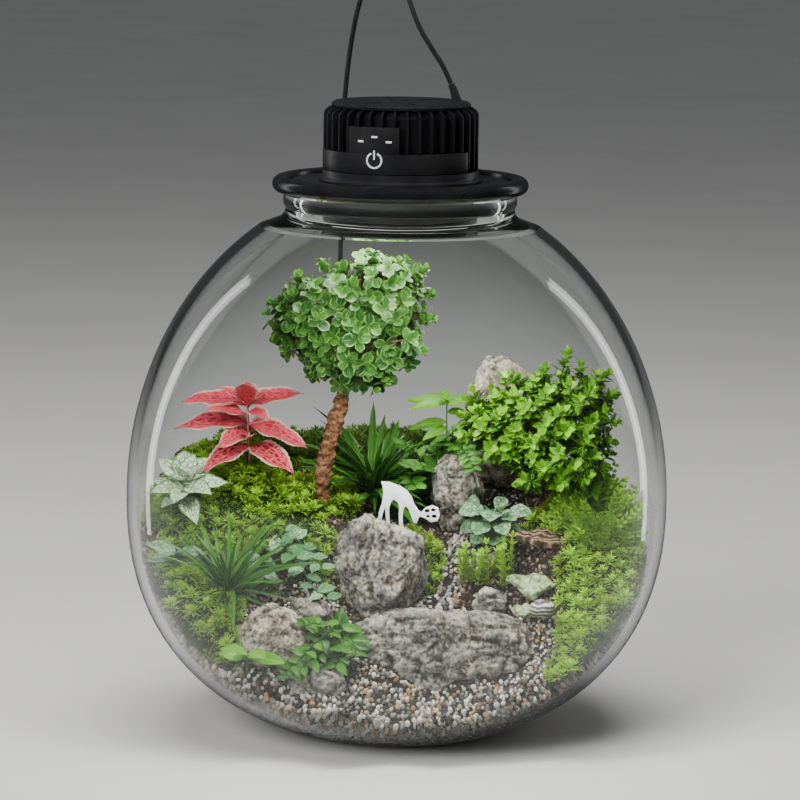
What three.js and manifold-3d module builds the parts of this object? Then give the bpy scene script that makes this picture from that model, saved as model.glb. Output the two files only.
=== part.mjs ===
// A glass plant terrarium: a round glass jar, closed by a lid that carries a ribbed black lamp,
// planted with rocks, gravel, moss and small plants round a flat white deer.
// Millimetres, +Z up, the middle of the jar's foot at the origin, the front towards -Y.
import * as THREE from "three";
import { mergeVertices } from "three/addons/utils/BufferGeometryUtils.js";
import Module from "manifold-3d";

const wasm = await Module();
wasm.setup();

// ---- Driving dimensions -----------------------------------------------------------------

const FIT = 0.35; // gap between pieces that lie against each other

// The blown jar: two half shells of revolution that meet at the waist, and a short neck.
const JAR = {
  radius: 160,
  waist: 140,
  rise: 187,
  drop: 146,
  power: 2.3,
  wall: 5,
  floor: 7,
  neck: 67.5,
  mouth: 60,
  shoulder: 309.5,
  lip: 319.7,
  sides: 28,
};
const LAMP_SIDES = 20;

const RING = { inner: 65, outer: 75.2, bottom: JAR.lip + FIT, height: 9.2 };
const PLATE = { outer: 64.6, hole: 46.2, top: 326.5, rim: 8 };
const LAMP = {
  radius: 45.4,
  groove: 41.6,
  ribs: 38,
  bottom: 333.9,
  top: 370,
  shoulder: 6,
  cover: 41,
  coverHeight: 2.8,
  flange: 47.6,
  skirt: 45.7,
  skirtBottom: 296.9,
  bezel: 6.4,
};
const PANEL = { azimuth: -109, halfSpan: 78, height: 11.7, tab: [-131, -91], tabTop: 361 };
const POWER = { azimuth: -109.3, height: 342.1, radius: 4.4, stroke: 1 };
const CORD = { diameter: 3, length: 1500, coilRadius: 17.5, coilWidth: 9, coilAt: [-62, 122.1] };

const SOIL = { margin: 9, floor: 17, front: -68, rim: 86 };
const CELL = 24; // grid of the ground's surface
const HOLE = 7; // depth of a stem's hole in the soil

// ---- Materials --------------------------------------------------------------------------

const finish = (color, roughness, metalness = 0) =>
  new THREE.MeshStandardMaterial({ color, roughness, metalness });
const glass = finish(0xdde6e4, 0.05);
glass.transparent = true;
glass.opacity = 0.25;
const black = finish(0x141414, 0.45);
const anodised = finish(0x101012, 0.4, 0.6);
const rubber = finish(0x1b1b1b, 0.7);
const print = finish(0xd8dadb, 0.5);
const lens = finish(0xe8ecef, 0.3);
const board = finish(0xe6e6e0, 0.6);
const steel = finish(0xb9bcc0, 0.3, 0.9);
const soilBrown = finish(0x2e2118, 1);
const gravelMix = finish(0x9a8a78, 0.9);
const stone = finish(0x807d76, 0.95);
const paleStone = finish(0xa39b8a, 0.95);
const bark = finish(0x4a3526, 1);
const trunkBrown = finish(0x6b4626, 0.95);
const lichen = finish(0xb7c3a4, 0.95);
const mossGreen = finish(0x4f7a1c, 1);
const brightMoss = finish(0x78b52a, 0.9);
const ficusGreen = finish(0x9dc48b, 0.6);
const pink = finish(0xc9415a, 0.6);
const white = finish(0xdfe9cf, 0.6);
const grassGreen = finish(0x3f7a2a, 0.6);
const creeperGreen = finish(0x5f9a4a, 0.6);
const darkLeaf = finish(0x3c7a24, 0.6);
const limeLeaf = finish(0x7ec83a, 0.55);
const silverLeaf = finish(0xa9c4a0, 0.6);
const fernGreen = finish(0x4f9030, 0.7);
const acrylic = finish(0xf6f6f6, 0.35);

// ---- Solids -----------------------------------------------------------------------------

const V = (x, y, z) => new THREE.Vector3(x, y, z);
const rad = THREE.MathUtils.degToRad;

const SEAM = 0.015; // corners of a finished piece that lie closer than this are one corner

// A closed geometry as a solid, turned face out.
function solid(geometry, near = 1e-4) {
  const bare = new THREE.BufferGeometry();
  bare.setAttribute("position", geometry.getAttribute("position"));
  bare.setIndex(geometry.index);
  const merged = mergeVertices(bare, near);
  const kept = [];
  const index = merged.index.array;
  for (let i = 0; i < index.length; i += 3) {
    const [a, b, c] = [index[i], index[i + 1], index[i + 2]];
    if (a !== b && b !== c && c !== a) kept.push(a, b, c);
  }
  const make = (triVerts) =>
    new wasm.Manifold(
      new wasm.Mesh({
        numProp: 3,
        vertProperties: merged.attributes.position.array,
        triVerts: new Uint32Array(triVerts),
      }),
    );
  const made = make(kept);
  if (made.volume() >= 0) return made;
  const turned = [];
  for (let i = 0; i < kept.length; i += 3) turned.push(kept[i], kept[i + 2], kept[i + 1]);
  return make(turned);
}

const join = (solids) => solids.reduce((sum, next) => sum.add(next));

// The one body that holds the piece together, without the scraps that a cut leaves.
function mainBody(whole) {
  const bodies = whole.decompose();
  return bodies.reduce((best, b) => (b.volume() > best.volume() ? b : best));
}

const root = new THREE.Group();
const placed = []; // every finished solid and its box, which later foliage keeps clear of

function geometryOf(body) {
  const mesh = body.getMesh();
  const geometry = new THREE.BufferGeometry();
  const position = new Float32Array(mesh.vertProperties);
  geometry.setAttribute("position", new THREE.BufferAttribute(position, 3));
  geometry.setIndex(new THREE.BufferAttribute(new Uint32Array(mesh.triVerts), 1));
  geometry.computeVertexNormals();
  return geometry;
}

function piece(name, made, material) {
  const body = mainBody(solid(geometryOf(mainBody(made)), SEAM));
  const object = new THREE.Mesh(geometryOf(body), material);
  object.name = name;
  root.add(object);
  placed.push({ body, box: body.boundingBox() });
  return body;
}

// A closed outline of [radius, height] turned round the upright axis.
function lathe(outline, sides = JAR.sides) {
  const points = outline.map(([r, z]) => new THREE.Vector2(r, z));
  const closed = outline[0][0] > 0 || outline[outline.length - 1][0] > 0;
  if (closed) points.push(points[0].clone());
  return solid(new THREE.LatheGeometry(points, sides).rotateX(Math.PI / 2));
}

// A skin over rings of points, each ring with the same count, or one point for a tip.
function loft(rings) {
  const position = [];
  const index = [];
  const starts = rings.map((ring) => {
    const start = position.length / 3;
    ring.forEach((p) => position.push(p.x, p.y, p.z));
    return start;
  });
  const sides = Math.max(...rings.map((ring) => ring.length));
  for (let k = 0; k + 1 < rings.length; k++) {
    for (let i = 0; i < sides; i++) {
      const j = (i + 1) % sides;
      const [a, b] = [starts[k], starts[k + 1]];
      if (rings[k].length === 1) index.push(a, b + j, b + i);
      else if (rings[k + 1].length === 1) index.push(a + i, a + j, b);
      else index.push(a + i, a + j, b + j, a + i, b + j, b + i);
    }
  }
  for (const [k, flip] of [
    [0, true],
    [rings.length - 1, false],
  ]) {
    for (let i = 1; i + 1 < rings[k].length; i++) {
      const s = starts[k];
      index.push(...(flip ? [s, s + i + 1, s + i] : [s, s + i, s + i + 1]));
    }
  }
  const geometry = new THREE.BufferGeometry();
  geometry.setAttribute("position", new THREE.Float32BufferAttribute(position, 3));
  geometry.setIndex(index);
  return geometry;
}

// A round bar along points, its radius running from one to the other.
function bar(points, from, to = from, sides = 5) {
  const rings = points.map((p, k) => {
    const before = points[Math.max(0, k - 1)];
    const after = points[Math.min(points.length - 1, k + 1)];
    const along = after.clone().sub(before).normalize();
    const across = Math.abs(along.z) > 0.9 ? V(1, 0, 0) : V(0, 0, 1);
    const u = along.clone().cross(across).normalize();
    const v = along.clone().cross(u);
    const r = THREE.MathUtils.lerp(from, to, k / (points.length - 1));
    return Array.from({ length: sides }, (_, i) => {
      const turn = (2 * Math.PI * i) / sides;
      return p
        .clone()
        .addScaledVector(u, r * Math.cos(turn))
        .addScaledVector(v, r * Math.sin(turn));
    });
  });
  return solid(loft(rings));
}

function box(size, at, turn = [0, 0, 0]) {
  const geometry = new THREE.BoxGeometry(...size);
  geometry.applyMatrix4(new THREE.Matrix4().makeRotationFromEuler(new THREE.Euler(...turn)));
  return solid(geometry.translate(...at));
}

// An upright prism over an outline of [x, y] points.
function prism(outline, bottom, top) {
  const shape = new THREE.Shape(outline.map(([x, y]) => new THREE.Vector2(x, y)));
  const geometry = new THREE.ExtrudeGeometry(shape, { depth: top - bottom, bevelEnabled: false });
  return solid(geometry.translate(0, 0, bottom));
}

// A slice of a ring between two radii, two heights and two azimuths in degrees.
function ringSector(inner, outer, bottom, top, from, to, steps) {
  const outline = [];
  for (let i = 0; i <= steps; i++) {
    const a = rad(THREE.MathUtils.lerp(from, to, i / steps));
    outline.push([outer * Math.cos(a), outer * Math.sin(a)]);
  }
  for (let i = steps; i >= 0; i--) {
    const a = rad(THREE.MathUtils.lerp(from, to, i / steps));
    outline.push([inner * Math.cos(a), inner * Math.sin(a)]);
  }
  return prism(outline, bottom, top);
}

// A repeatable random draw.
function dice(seed) {
  let s = seed;
  return (low = 0, high = 1) => {
    s = (s + 0x6d2b79f5) | 0;
    let t = Math.imul(s ^ (s >>> 15), 1 | s);
    t = (t + Math.imul(t ^ (t >>> 7), 61 | t)) ^ t;
    return low + (high - low) * (((t ^ (t >>> 14)) >>> 0) / 4294967296);
  };
}

// ---- Jar --------------------------------------------------------------------------------

// Radius of the jar at a height, its skin taken in by a thickness.
function jarRadius(z, inset = 0) {
  const across = JAR.radius - inset;
  if (z >= JAR.waist) {
    const u = (z - JAR.waist) / (JAR.rise - inset);
    return across * Math.sqrt(Math.max(0, 1 - u * u));
  }
  const u = (JAR.waist - z) / (JAR.drop - inset);
  return across * Math.pow(Math.max(0, 1 - Math.pow(u, JAR.power)), 1 / JAR.power);
}

const LOWER = [16, 36, 66, 102, 140];
const UPPER = [178, 214, 246, 273, 296];
const LEVELS = [JAR.floor, ...LOWER, ...UPPER];
const bowl = (inset, levels) => levels.map((z) => [jarRadius(z, inset), z]);

// Radius at a height of the wall's straight facets between two levels.
function facetRadius(z, inset) {
  const k = LEVELS.findIndex((level, i) => level <= z && z <= LEVELS[i + 1]);
  const [low, high] = [LEVELS[k], LEVELS[k + 1]];
  const share = (z - low) / (high - low);
  return THREE.MathUtils.lerp(jarRadius(low, inset), jarRadius(high, inset), share);
}

piece(
  "glass_jar",
  lathe([
    [0, 0],
    [jarRadius(0), 0],
    [jarRadius(4), 4],
    ...bowl(0, [...LOWER, ...UPPER]),
    [JAR.neck, JAR.shoulder],
    [JAR.neck + 1, JAR.shoulder + 4],
    [JAR.neck, JAR.lip],
    [JAR.mouth + 1.5, JAR.lip],
    [JAR.mouth, JAR.lip - 1.5],
    [JAR.mouth, 307.5],
    ...bowl(JAR.wall, [...LOWER, ...UPPER]).reverse(),
    [jarRadius(JAR.floor, JAR.wall), JAR.floor],
    [0, JAR.floor],
  ]),
  glass,
);

// The room inside the jar up to a height, held off the glass by a gap.
function room(gap, bottom, top) {
  const inset = JAR.wall + gap;
  return lathe([
    [0, bottom],
    [facetRadius(bottom, inset), bottom],
    ...bowl(
      inset,
      LEVELS.filter((z) => z > bottom + 2 && z < top - 2),
    ),
    [facetRadius(top, inset), top],
    [0, top],
  ]);
}

// ---- Lid and lamp -----------------------------------------------------------------------

const ringTop = RING.bottom + RING.height;
piece(
  "lid_ring",
  lathe([
    [RING.inner + 0.5, RING.bottom],
    [RING.outer - 2.5, RING.bottom],
    [RING.outer - 0.4, RING.bottom + 2.4],
    [RING.outer, RING.bottom + 5],
    [RING.outer - 3, ringTop - 0.5],
    [RING.inner + 3, ringTop],
    [RING.inner, ringTop - 3],
  ]),
  rubber,
);

const plateBottom = JAR.lip + FIT;
piece(
  "lid_plate",
  lathe(
    [
      [PLATE.hole, plateBottom],
      [JAR.mouth - 3.5, plateBottom],
      [JAR.mouth - 3.5, plateBottom - PLATE.rim],
      [JAR.mouth - 0.8, plateBottom - PLATE.rim],
      [JAR.mouth - 0.8, plateBottom],
      [PLATE.outer, plateBottom],
      [PLATE.outer, PLATE.top],
      [PLATE.hole, PLATE.top],
    ],
    LAMP_SIDES,
  ),
  black,
);

const flangeBottom = PLATE.top + FIT;
const flangeSeat = flangeBottom + 2.6;
piece(
  "lamp_flange",
  lathe(
    [
      [0, flangeSeat],
      [LAMP.skirt + 0.5, flangeSeat],
      [LAMP.skirt + 0.5, flangeBottom],
      [LAMP.flange, flangeBottom],
      [LAMP.flange, LAMP.bottom - 2.4],
      [LAMP.radius + 0.4, LAMP.bottom - FIT],
      [0, LAMP.bottom - FIT],
    ],
    LAMP_SIDES,
  ),
  black,
);

const bezelTop = LAMP.skirtBottom + LAMP.bezel;
piece(
  "lamp_skirt",
  lathe(
    [
      [LAMP.skirt - 2.6, bezelTop + FIT],
      [LAMP.skirt, bezelTop + FIT],
      [LAMP.skirt, flangeSeat - FIT],
      [LAMP.skirt - 2.6, flangeSeat - FIT],
    ],
    LAMP_SIDES,
  ),
  black,
);
piece(
  "lens_bezel",
  lathe(
    [
      [LAMP.skirt - 5.6, LAMP.skirtBottom],
      [LAMP.skirt, LAMP.skirtBottom],
      [LAMP.skirt, bezelTop],
      [LAMP.skirt - 3.6, bezelTop],
      [LAMP.skirt - 3.6, LAMP.skirtBottom + 2.2],
      [LAMP.skirt - 5.6, LAMP.skirtBottom + 2.2],
    ],
    LAMP_SIDES,
  ),
  black,
);
const lensBottom = LAMP.skirtBottom + 2.2 + FIT;
piece(
  "lamp_lens",
  lathe(
    [
      [0, lensBottom],
      [LAMP.skirt - 4, lensBottom],
      [LAMP.skirt - 4, bezelTop],
      [0, bezelTop],
    ],
    LAMP_SIDES,
  ),
  lens,
);
const boardBottom = bezelTop + FIT;
piece(
  "led_board",
  lathe(
    [
      [0, boardBottom],
      [LAMP.skirt - 3, boardBottom],
      [LAMP.skirt - 3, boardBottom + 1.6],
      [0, boardBottom + 1.6],
    ],
    LAMP_SIDES,
  ),
  board,
);
piece(
  "heat_column",
  lathe(
    [
      [0, boardBottom + 1.6 + FIT],
      [24, boardBottom + 1.6 + FIT],
      [24, flangeSeat - FIT],
      [0, flangeSeat - FIT],
    ],
    16,
  ),
  steel,
);

// The ribbed body: one outline of ribs, straight up and then drawn in to the shoulder.
function ribbedRing(z, scale) {
  const ring = [];
  const step = (2 * Math.PI) / LAMP.ribs;
  for (let i = 0; i < LAMP.ribs; i++) {
    const corners = [
      [LAMP.groove, -0.17],
      [LAMP.radius, -0.11],
      [LAMP.radius, 0.11],
      [LAMP.groove, 0.17],
    ];
    for (const [r, share] of corners) {
      const a = (i + share) * step;
      ring.push(V(r * scale * Math.cos(a), r * scale * Math.sin(a), z));
    }
  }
  return ring;
}
const panelTop = LAMP.bottom + PANEL.height;
const [panelFrom, panelTo] = [PANEL.azimuth - PANEL.halfSpan, PANEL.azimuth + PANEL.halfSpan];
const [tabFrom, tabTo] = PANEL.tab;
const recess = LAMP.groove - 1;
const panelBand = (inner, outer, gap) =>
  join([
    ringSector(inner, outer, LAMP.bottom - gap, panelTop + gap, panelFrom - gap, panelTo + gap, 12),
    ringSector(inner, outer, panelTop - 2, PANEL.tabTop + gap, tabFrom - gap, tabTo + gap, 5),
  ]);
piece(
  "lamp_heatsink",
  solid(
    loft([
      ribbedRing(LAMP.bottom, 1),
      ribbedRing(LAMP.top - LAMP.shoulder, 1),
      ribbedRing(LAMP.top, 0.93),
    ]),
  ).subtract(panelBand(recess, LAMP.radius + 3, FIT)),
  anodised,
);
piece("control_panel", panelBand(recess + FIT + 0.3, LAMP.radius + 0.3, 0), black);

// A printed mark on the round panel, drawn from [sideways, upwards] centre-line points.
function mark(points, width) {
  const face = LAMP.radius + 0.3 + FIT;
  const around = (x, up, r) => {
    const a = rad(POWER.azimuth) + x / LAMP.radius;
    return V(r * Math.cos(a), r * Math.sin(a), POWER.height + up);
  };
  const rings = points.map(([x, up], k) => {
    const [x0, up0] = points[Math.max(0, k - 1)];
    const [x1, up1] = points[Math.min(points.length - 1, k + 1)];
    const long = Math.hypot(x1 - x0, up1 - up0);
    const [sx, su] = [((up0 - up1) / long) * (width / 2), ((x1 - x0) / long) * (width / 2)];
    return [
      around(x + sx, up + su, face),
      around(x - sx, up - su, face),
      around(x - sx, up - su, face + 0.3),
      around(x + sx, up + su, face + 0.3),
    ];
  });
  return solid(loft(rings));
}
const ringPoints = Array.from({ length: 13 }, (_, i) => {
  const a = rad(90 + 24 + (312 * i) / 12);
  return [POWER.radius * Math.cos(a), POWER.radius * Math.sin(a)];
});
piece("power_ring", mark(ringPoints, POWER.stroke), print);
piece(
  "power_bar",
  mark(
    [
      [0, 0.4],
      [0, POWER.radius + 1.4],
    ],
    POWER.stroke,
  ),
  print,
);
const LEVEL_MARKS = [
  [-8.4, 10.8],
  [0, 13.5],
  [8.4, 10.8],
];
LEVEL_MARKS.forEach(([x, up], i) => {
  const line = [
    [x - 1.7, up],
    [x + 1.7, up],
  ];
  piece("level_mark_" + (i + 1), mark(line, 1.1), print);
});

// ---- Cord -------------------------------------------------------------------------------

// The cord's way from the lamp's top, up and over, down the back of the jar to its coil.
const CORD_ROUTE = [
  [28.9, 14, 383],
  [26.5, 14, 388.3],
  [22.9, 14, 395.1],
  [18.9, 14, 401],
  [15.2, 14, 406.9],
  [11.6, 14.1, 412.7],
  [8.5, 14.5, 419],
  [6, 15.6, 425.5],
  [3.3, 18.3, 432.5],
  [-0.3, 23, 439.5],
  [-5.2, 31, 445.5],
  [-10.8, 42, 448.5],
  [-16.5, 53.8, 446.5],
  [-21.6, 64.9, 439],
  [-26, 74.3, 426.5],
  [-29.6, 81.9, 410],
  [-32.6, 88.4, 389],
  [-34.8, 93.8, 365],
  [-36.5, 99, 340],
  [-37.6, 104.5, 316],
  [-38, 110.5, 293],
  [-38, 116.3, 272],
  [-38, 122, 256.5],
  [-38, 131.7, 240.9],
  [-38, 143.5, 215.7],
  [-38, 151.4, 190.4],
  [-38, 156.1, 165.2],
  [-38, 157.7, 140],
  [-38, 158.1, 100],
  [-38, 158.1, 60],
  [-38, 158.1, 30],
  [-38, 158.1, 15.5],
  [-38, 154.3, 5.9],
  [-38, 145.3, 1.9],
  [-38.2, 134.1, 3],
  [-38.2, 122.1, 5],
].map((p) => V(...p));
const cordCurve = new THREE.CatmullRomCurve3(CORD_ROUTE);
const glandFoot = V(32.4, 14, LAMP.top + FIT);

const coverBottom = LAMP.top + FIT;
const SLOTS = 6;
const slots = Array.from({ length: SLOTS }, (_, i) => {
  const a = (2 * Math.PI * i) / SLOTS + 0.8;
  return box([16, 2.4, 8], [24 * Math.cos(a), 24 * Math.sin(a), coverBottom], [0, 0, a]);
});
const glandHole = solid(
  new THREE.CylinderGeometry(3.6, 3.6, 12, 12)
    .rotateX(Math.PI / 2)
    .translate(glandFoot.x, glandFoot.y, coverBottom),
);
piece(
  "lamp_top_cover",
  lathe(
    [
      [0, coverBottom],
      [LAMP.cover - 0.6, coverBottom],
      [LAMP.cover, coverBottom + 1.4],
      [LAMP.cover - 1.4, coverBottom + LAMP.coverHeight],
      [0, coverBottom + LAMP.coverHeight],
    ],
    LAMP_SIDES,
  ).subtract(join([...slots, glandHole])),
  black,
);
piece(
  "cable_gland",
  bar([glandFoot, V(32.2, 14, 374), V(30.8, 14, 378.6), V(29.1, 14, 382.6)], 3.2, 1.9, 8),
  rubber,
);

const cordSection = new THREE.Shape(
  Array.from({ length: 8 }, (_, i) => {
    const a = (Math.PI * i) / 4;
    const r = CORD.diameter / 2;
    return new THREE.Vector2(r * Math.cos(a), r * Math.sin(a));
  }),
);
const cordTube = new THREE.ExtrudeGeometry(cordSection, { steps: 72, extrudePath: cordCurve });
piece("cord_run", solid(cordTube), rubber);

const tieWall = 1;
const coilBottom = tieWall + FIT;
const [coilX, coilY] = CORD.coilAt;
const half = CORD.coilWidth / 2;
const coilOutline = [
  [CORD.coilRadius - half, coilBottom + 2.5],
  [CORD.coilRadius - half + 2, coilBottom],
  [CORD.coilRadius + half - 2, coilBottom],
  [CORD.coilRadius + half, coilBottom + 2.5],
  [CORD.coilRadius + half, coilBottom + CORD.coilWidth - 2.5],
  [CORD.coilRadius + half - 2, coilBottom + CORD.coilWidth],
  [CORD.coilRadius - half + 2, coilBottom + CORD.coilWidth],
  [CORD.coilRadius - half, coilBottom + CORD.coilWidth - 2.5],
];
piece("cord_coil", lathe(coilOutline, 20).translate([coilX, coilY, 0]), rubber);

const tieHole = CORD.coilWidth + 2 * FIT;
const tieAt = [coilX, coilY - CORD.coilRadius, coilBottom + half];
piece(
  "cord_tie",
  box([4, tieHole + 2 * tieWall, tieHole + 2 * tieWall], tieAt).subtract(
    box([6, tieHole, tieHole], tieAt),
  ),
  black,
);

// A round low-voltage plug lies beside the coil, its tail towards the front.
const PLUG = { radius: 4.6, tail: 12, height: 4.8 };
function plugPart(outline) {
  const upright = lathe(outline, 12);
  const aside = CORD.coilRadius + half + FIT + PLUG.radius;
  return upright.rotate([-90, 0, 0]).translate([coilX - aside, coilY - PLUG.tail + 2, PLUG.height]);
}
piece(
  "plug_body",
  plugPart([
    [0, -2],
    [1.9, -2],
    [2.6, 7],
    [PLUG.radius, 9],
    [PLUG.radius, 24],
    [PLUG.radius - 0.6, 25],
    [0, 25],
  ]),
  black,
);
piece(
  "plug_barrel",
  plugPart([
    [0, 25 + FIT],
    [2.75, 25 + FIT],
    [2.75, 35],
    [0, 35],
  ]),
  steel,
);

// ---- Ground -----------------------------------------------------------------------------

// Heights of the planted ground, under the moss, at places across the jar: [x, y, height].
const SURVEY = [
  [0, -100, 24],
  [-62, -92, 30],
  [60, -92, 29],
  [-100, -80, 48],
  [98, -80, 42],
  [25, -64, 32],
  [80, -58, 40],
  [-34, -64, 38],
  [2, -40, 55],
  [66, -30, 64],
  [20, -12, 76],
  [44, 12, 106],
  [48, 30, 120],
  [-12, -34, 76],
  [-10, 14, 118],
  [-46, -56, 52],
  [-44, -36, 82],
  [-57, -14, 114],
  [-57, 12, 134],
  [-82, -46, 76],
  [-98, -52, 84],
  [-124, -34, 100],
  [-134, -4, 126],
  [-88, 22, 146],
  [-44, 12, 141],
  [-104, 62, 160],
  [-40, 64, 156],
  [0, 100, 150],
  [70, 78, 138],
  [112, 52, 130],
  [98, 0, 114],
  [82, -26, 88],
  [103, -58, 68],
  [130, -46, 78],
  [142, -4, 102],
];
function ground(x, y) {
  let [sum, weight] = [0, 0];
  for (const [px, py, pz] of SURVEY) {
    const w = 1 / ((x - px) ** 2 + (y - py) ** 2 + 90) ** 2;
    sum += w * pz;
    weight += w;
  }
  return sum / weight;
}

// Everything under a surface over a rectangle of the plan.
function below(height, [x0, x1], [y0, y1], cell, bottom = -10) {
  const [nx, ny] = [Math.ceil((x1 - x0) / cell), Math.ceil((y1 - y0) / cell)];
  const geometry = new THREE.BoxGeometry(x1 - x0, y1 - y0, 1, nx, ny, 1);
  geometry.translate((x0 + x1) / 2, (y0 + y1) / 2, 0);
  const p = geometry.getAttribute("position");
  for (let i = 0; i < p.count; i++) {
    p.setZ(i, p.getZ(i) > 0 ? height(p.getX(i), p.getY(i)) : bottom);
  }
  return solid(geometry);
}
const span = [-7 * CELL, 7 * CELL];
const underGround = (lift) => below((x, y) => ground(x, y) + lift, span, span, CELL);

// ---- Rocks ------------------------------------------------------------------------------

// A broken stone: a faceted ball, roughened, with flats struck off it.
function rock({ at, size, seed, detail = 1, flats = [], roughness = 0.1 }, grow = 0) {
  const random = dice(seed);
  const planes = flats.map(([x, y, z, d]) => ({ n: V(x, y, z).normalize(), d }));
  for (let i = 0; i < 7; i++) {
    const n = V(random(-1, 1), random(-1, 1), random(-1, 1)).normalize();
    planes.push({ n, d: random(0.78, 0.95) });
  }
  const phase = random(0, 6);
  const geometry = new THREE.IcosahedronGeometry(1, detail);
  const p = geometry.getAttribute("position");
  const n = V(0, 0, 0);
  for (let i = 0; i < p.count; i++) {
    n.fromBufferAttribute(p, i).normalize();
    const wave = Math.sin(5 * n.x + 3 * n.z + phase) * Math.cos(4 * n.y - 5 * n.z + 2 * phase);
    let r = 1 + roughness * wave + roughness * 0.6 * Math.sin(9 * n.x - 8 * n.y + phase);
    for (const plane of planes) {
      const facing = n.dot(plane.n);
      if (facing > 0.05) r = Math.min(r, plane.d / facing);
    }
    n.multiplyScalar(r).multiply(V(...size).multiplyScalar(0.5));
    n.addScaledVector(n.clone().normalize(), grow);
    p.setXYZ(i, n.x + at[0], n.y + at[1], n.z + at[2]);
  }
  return solid(geometry);
}

const ROCKS = {
  rock_under_deer: {
    at: [-9, -17, 98],
    size: [60, 50, 78],
    seed: 11,
    detail: 2,
    flats: [
      [0.24, 0.1, 1, 0.75],
      [-0.2, -1, 0.1, 0.86],
      [1, -0.5, -0.1, 0.86],
    ],
  },
  rock_front: {
    at: [28, -44, 50],
    size: [132, 50, 68],
    seed: 23,
    detail: 2,
    flats: [
      [0.1, 0, 1, 0.82],
      [0, -1, 0.25, 0.84],
    ],
  },
  rock_pale: { at: [-71, -64, 64], size: [48, 34, 44], seed: 5 },
  rock_low: { at: [-47, -76, 40], size: [42, 26, 30], seed: 8 },
  rock_behind_pale: { at: [-50, -46, 78], size: [26, 22, 22], seed: 15 },
  rock_peak: { at: [68, 76, 168], size: [58, 44, 104], seed: 31, flats: [[0, 1, 0.2, 0.85]] },
  rock_middle: { at: [36, 34, 136], size: [36, 30, 56], seed: 42 },
  rock_by_path: { at: [56, -20, 77], size: [22, 18, 20], seed: 19 },
  striped_pebble: { at: [86, -42, 80], size: [16, 14, 13], seed: 27, roughness: 0.03 },
};

// ---- Deer -------------------------------------------------------------------------------

// The flat deer in side view, head down to the right: [sideways, height] from its left hoof.
const DEER = { at: [-10.6, -10, 127.4], thick: 2 };
const DEER_OUTLINE = [
  [-0.6, -4],
  [1.4, -4],
  [2.4, 2],
  [4, 7.4],
  [4.4, 2],
  [5, -4],
  [7, -4],
  [6.6, 2],
  [6.4, 6],
  [7.4, 9.6],
  [9, 11.6],
  [11.6, 10.2],
  [12.6, 7],
  [12.4, 2],
  [12.6, -4.6],
  [15, -4.6],
  [14.8, 1],
  [15, 5.4],
  [16.2, 7.6],
  [18, 6.2],
  [19.8, 2],
  [21.4, -2.6],
  [23.4, -2.8],
  [25, 1.4],
  [28, 0.4],
  [32, -2.2],
  [36, -1.4],
  [37.4, 2.2],
  [36.4, 6.6],
  [32.6, 8.2],
  [28.6, 6.6],
  [26, 3.6],
  [24.4, 5],
  [21.6, 9.2],
  [20, 13.6],
  [17, 17.4],
  [12.6, 20],
  [7, 22],
  [1.4, 22.6],
  [2.2, 20],
  [2.8, 16],
  [2.2, 10],
  [0.4, 4],
];
const DEER_HOLES = [
  [29.6, 4.8, 1.3],
  [33.4, 5.4, 1.2],
  [30.2, 1.4, 1],
  [34, 1.4, 1.3],
];
const deerScale = 0.97;
const deerShape = new THREE.Shape(
  DEER_OUTLINE.map(([x, z]) => new THREE.Vector2(x * deerScale, z * deerScale)),
);
DEER_HOLES.forEach(([x, z, r]) => {
  const hole = new THREE.Path();
  hole.absellipse(x * deerScale, z * deerScale, r * 1.3, r, 0, 2 * Math.PI, true);
  deerShape.holes.push(hole);
});
const [deerX, deerY, deerZ] = DEER.at;
const stand = (geometry) =>
  solid(geometry.rotateX(Math.PI / 2).translate(deerX, deerY + DEER.thick / 2, deerZ));
const deer = stand(
  new THREE.ExtrudeGeometry(deerShape, {
    depth: DEER.thick,
    bevelEnabled: false,
    curveSegments: 3,
  }),
);
// Slots in the stone for the hooves: [sideways, foot] of each hoof on the outline.
const hoofSlots = [
  [0.4, -4],
  [6, -4],
  [13.8, -4.6],
].map(([x, foot]) => {
  const [wide, tall] = [3.4, 14];
  const bottom = deerZ + foot * deerScale - FIT;
  const at = [deerX + x * deerScale, deerY, bottom + tall / 2];
  return box([wide, DEER.thick + 2 * FIT, tall], at);
});

// ---- Plant places -----------------------------------------------------------------------

// Where each plant's stem stands in the ground: [x, y, radius of the stem].
const STEMS = {
  ficus: [-44.5, 8, 5.2],
  redFittonia: [-88, 20, 2],
  whiteFittonia: [-126, -4, 2],
  grass: [-98, -48, 3],
  spottedCreeper: [-76, -22, 1.6],
  trailingCreeper: [-38, -52, 1.6],
  frontLeaves: [-84, -80, 1.6],
  paleLeaves: [-128, -40, 1.6],
  bush: [88, 34, 3],
  vine: [22, 50, 1.8],
  silver: [58, 12, 1.8],
  selaginella: [122, 14, 2.4],
  fern: [-14, 42, 2.4],
  seedling: [30, 62, 1.8],
  uprightMoss: [54, -6, 2.2],
};
const stemFoot = ([x, y]) => V(x, y, ground(x, y) - HOLE);
const holes = join(
  Object.values(STEMS).map(([x, y, r]) => {
    const depth = HOLE + 30;
    const wide = 2 * (r + FIT);
    return box([wide, wide, depth], [x, y, ground(x, y) - HOLE - FIT + depth / 2]);
  }),
);

// ---- Gravel, soil, rocks and moss -------------------------------------------------------

const stonesGrown = join(Object.values(ROCKS).map((spec) => rock(spec, FIT)));
const overGround = underGround(FIT);

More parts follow.
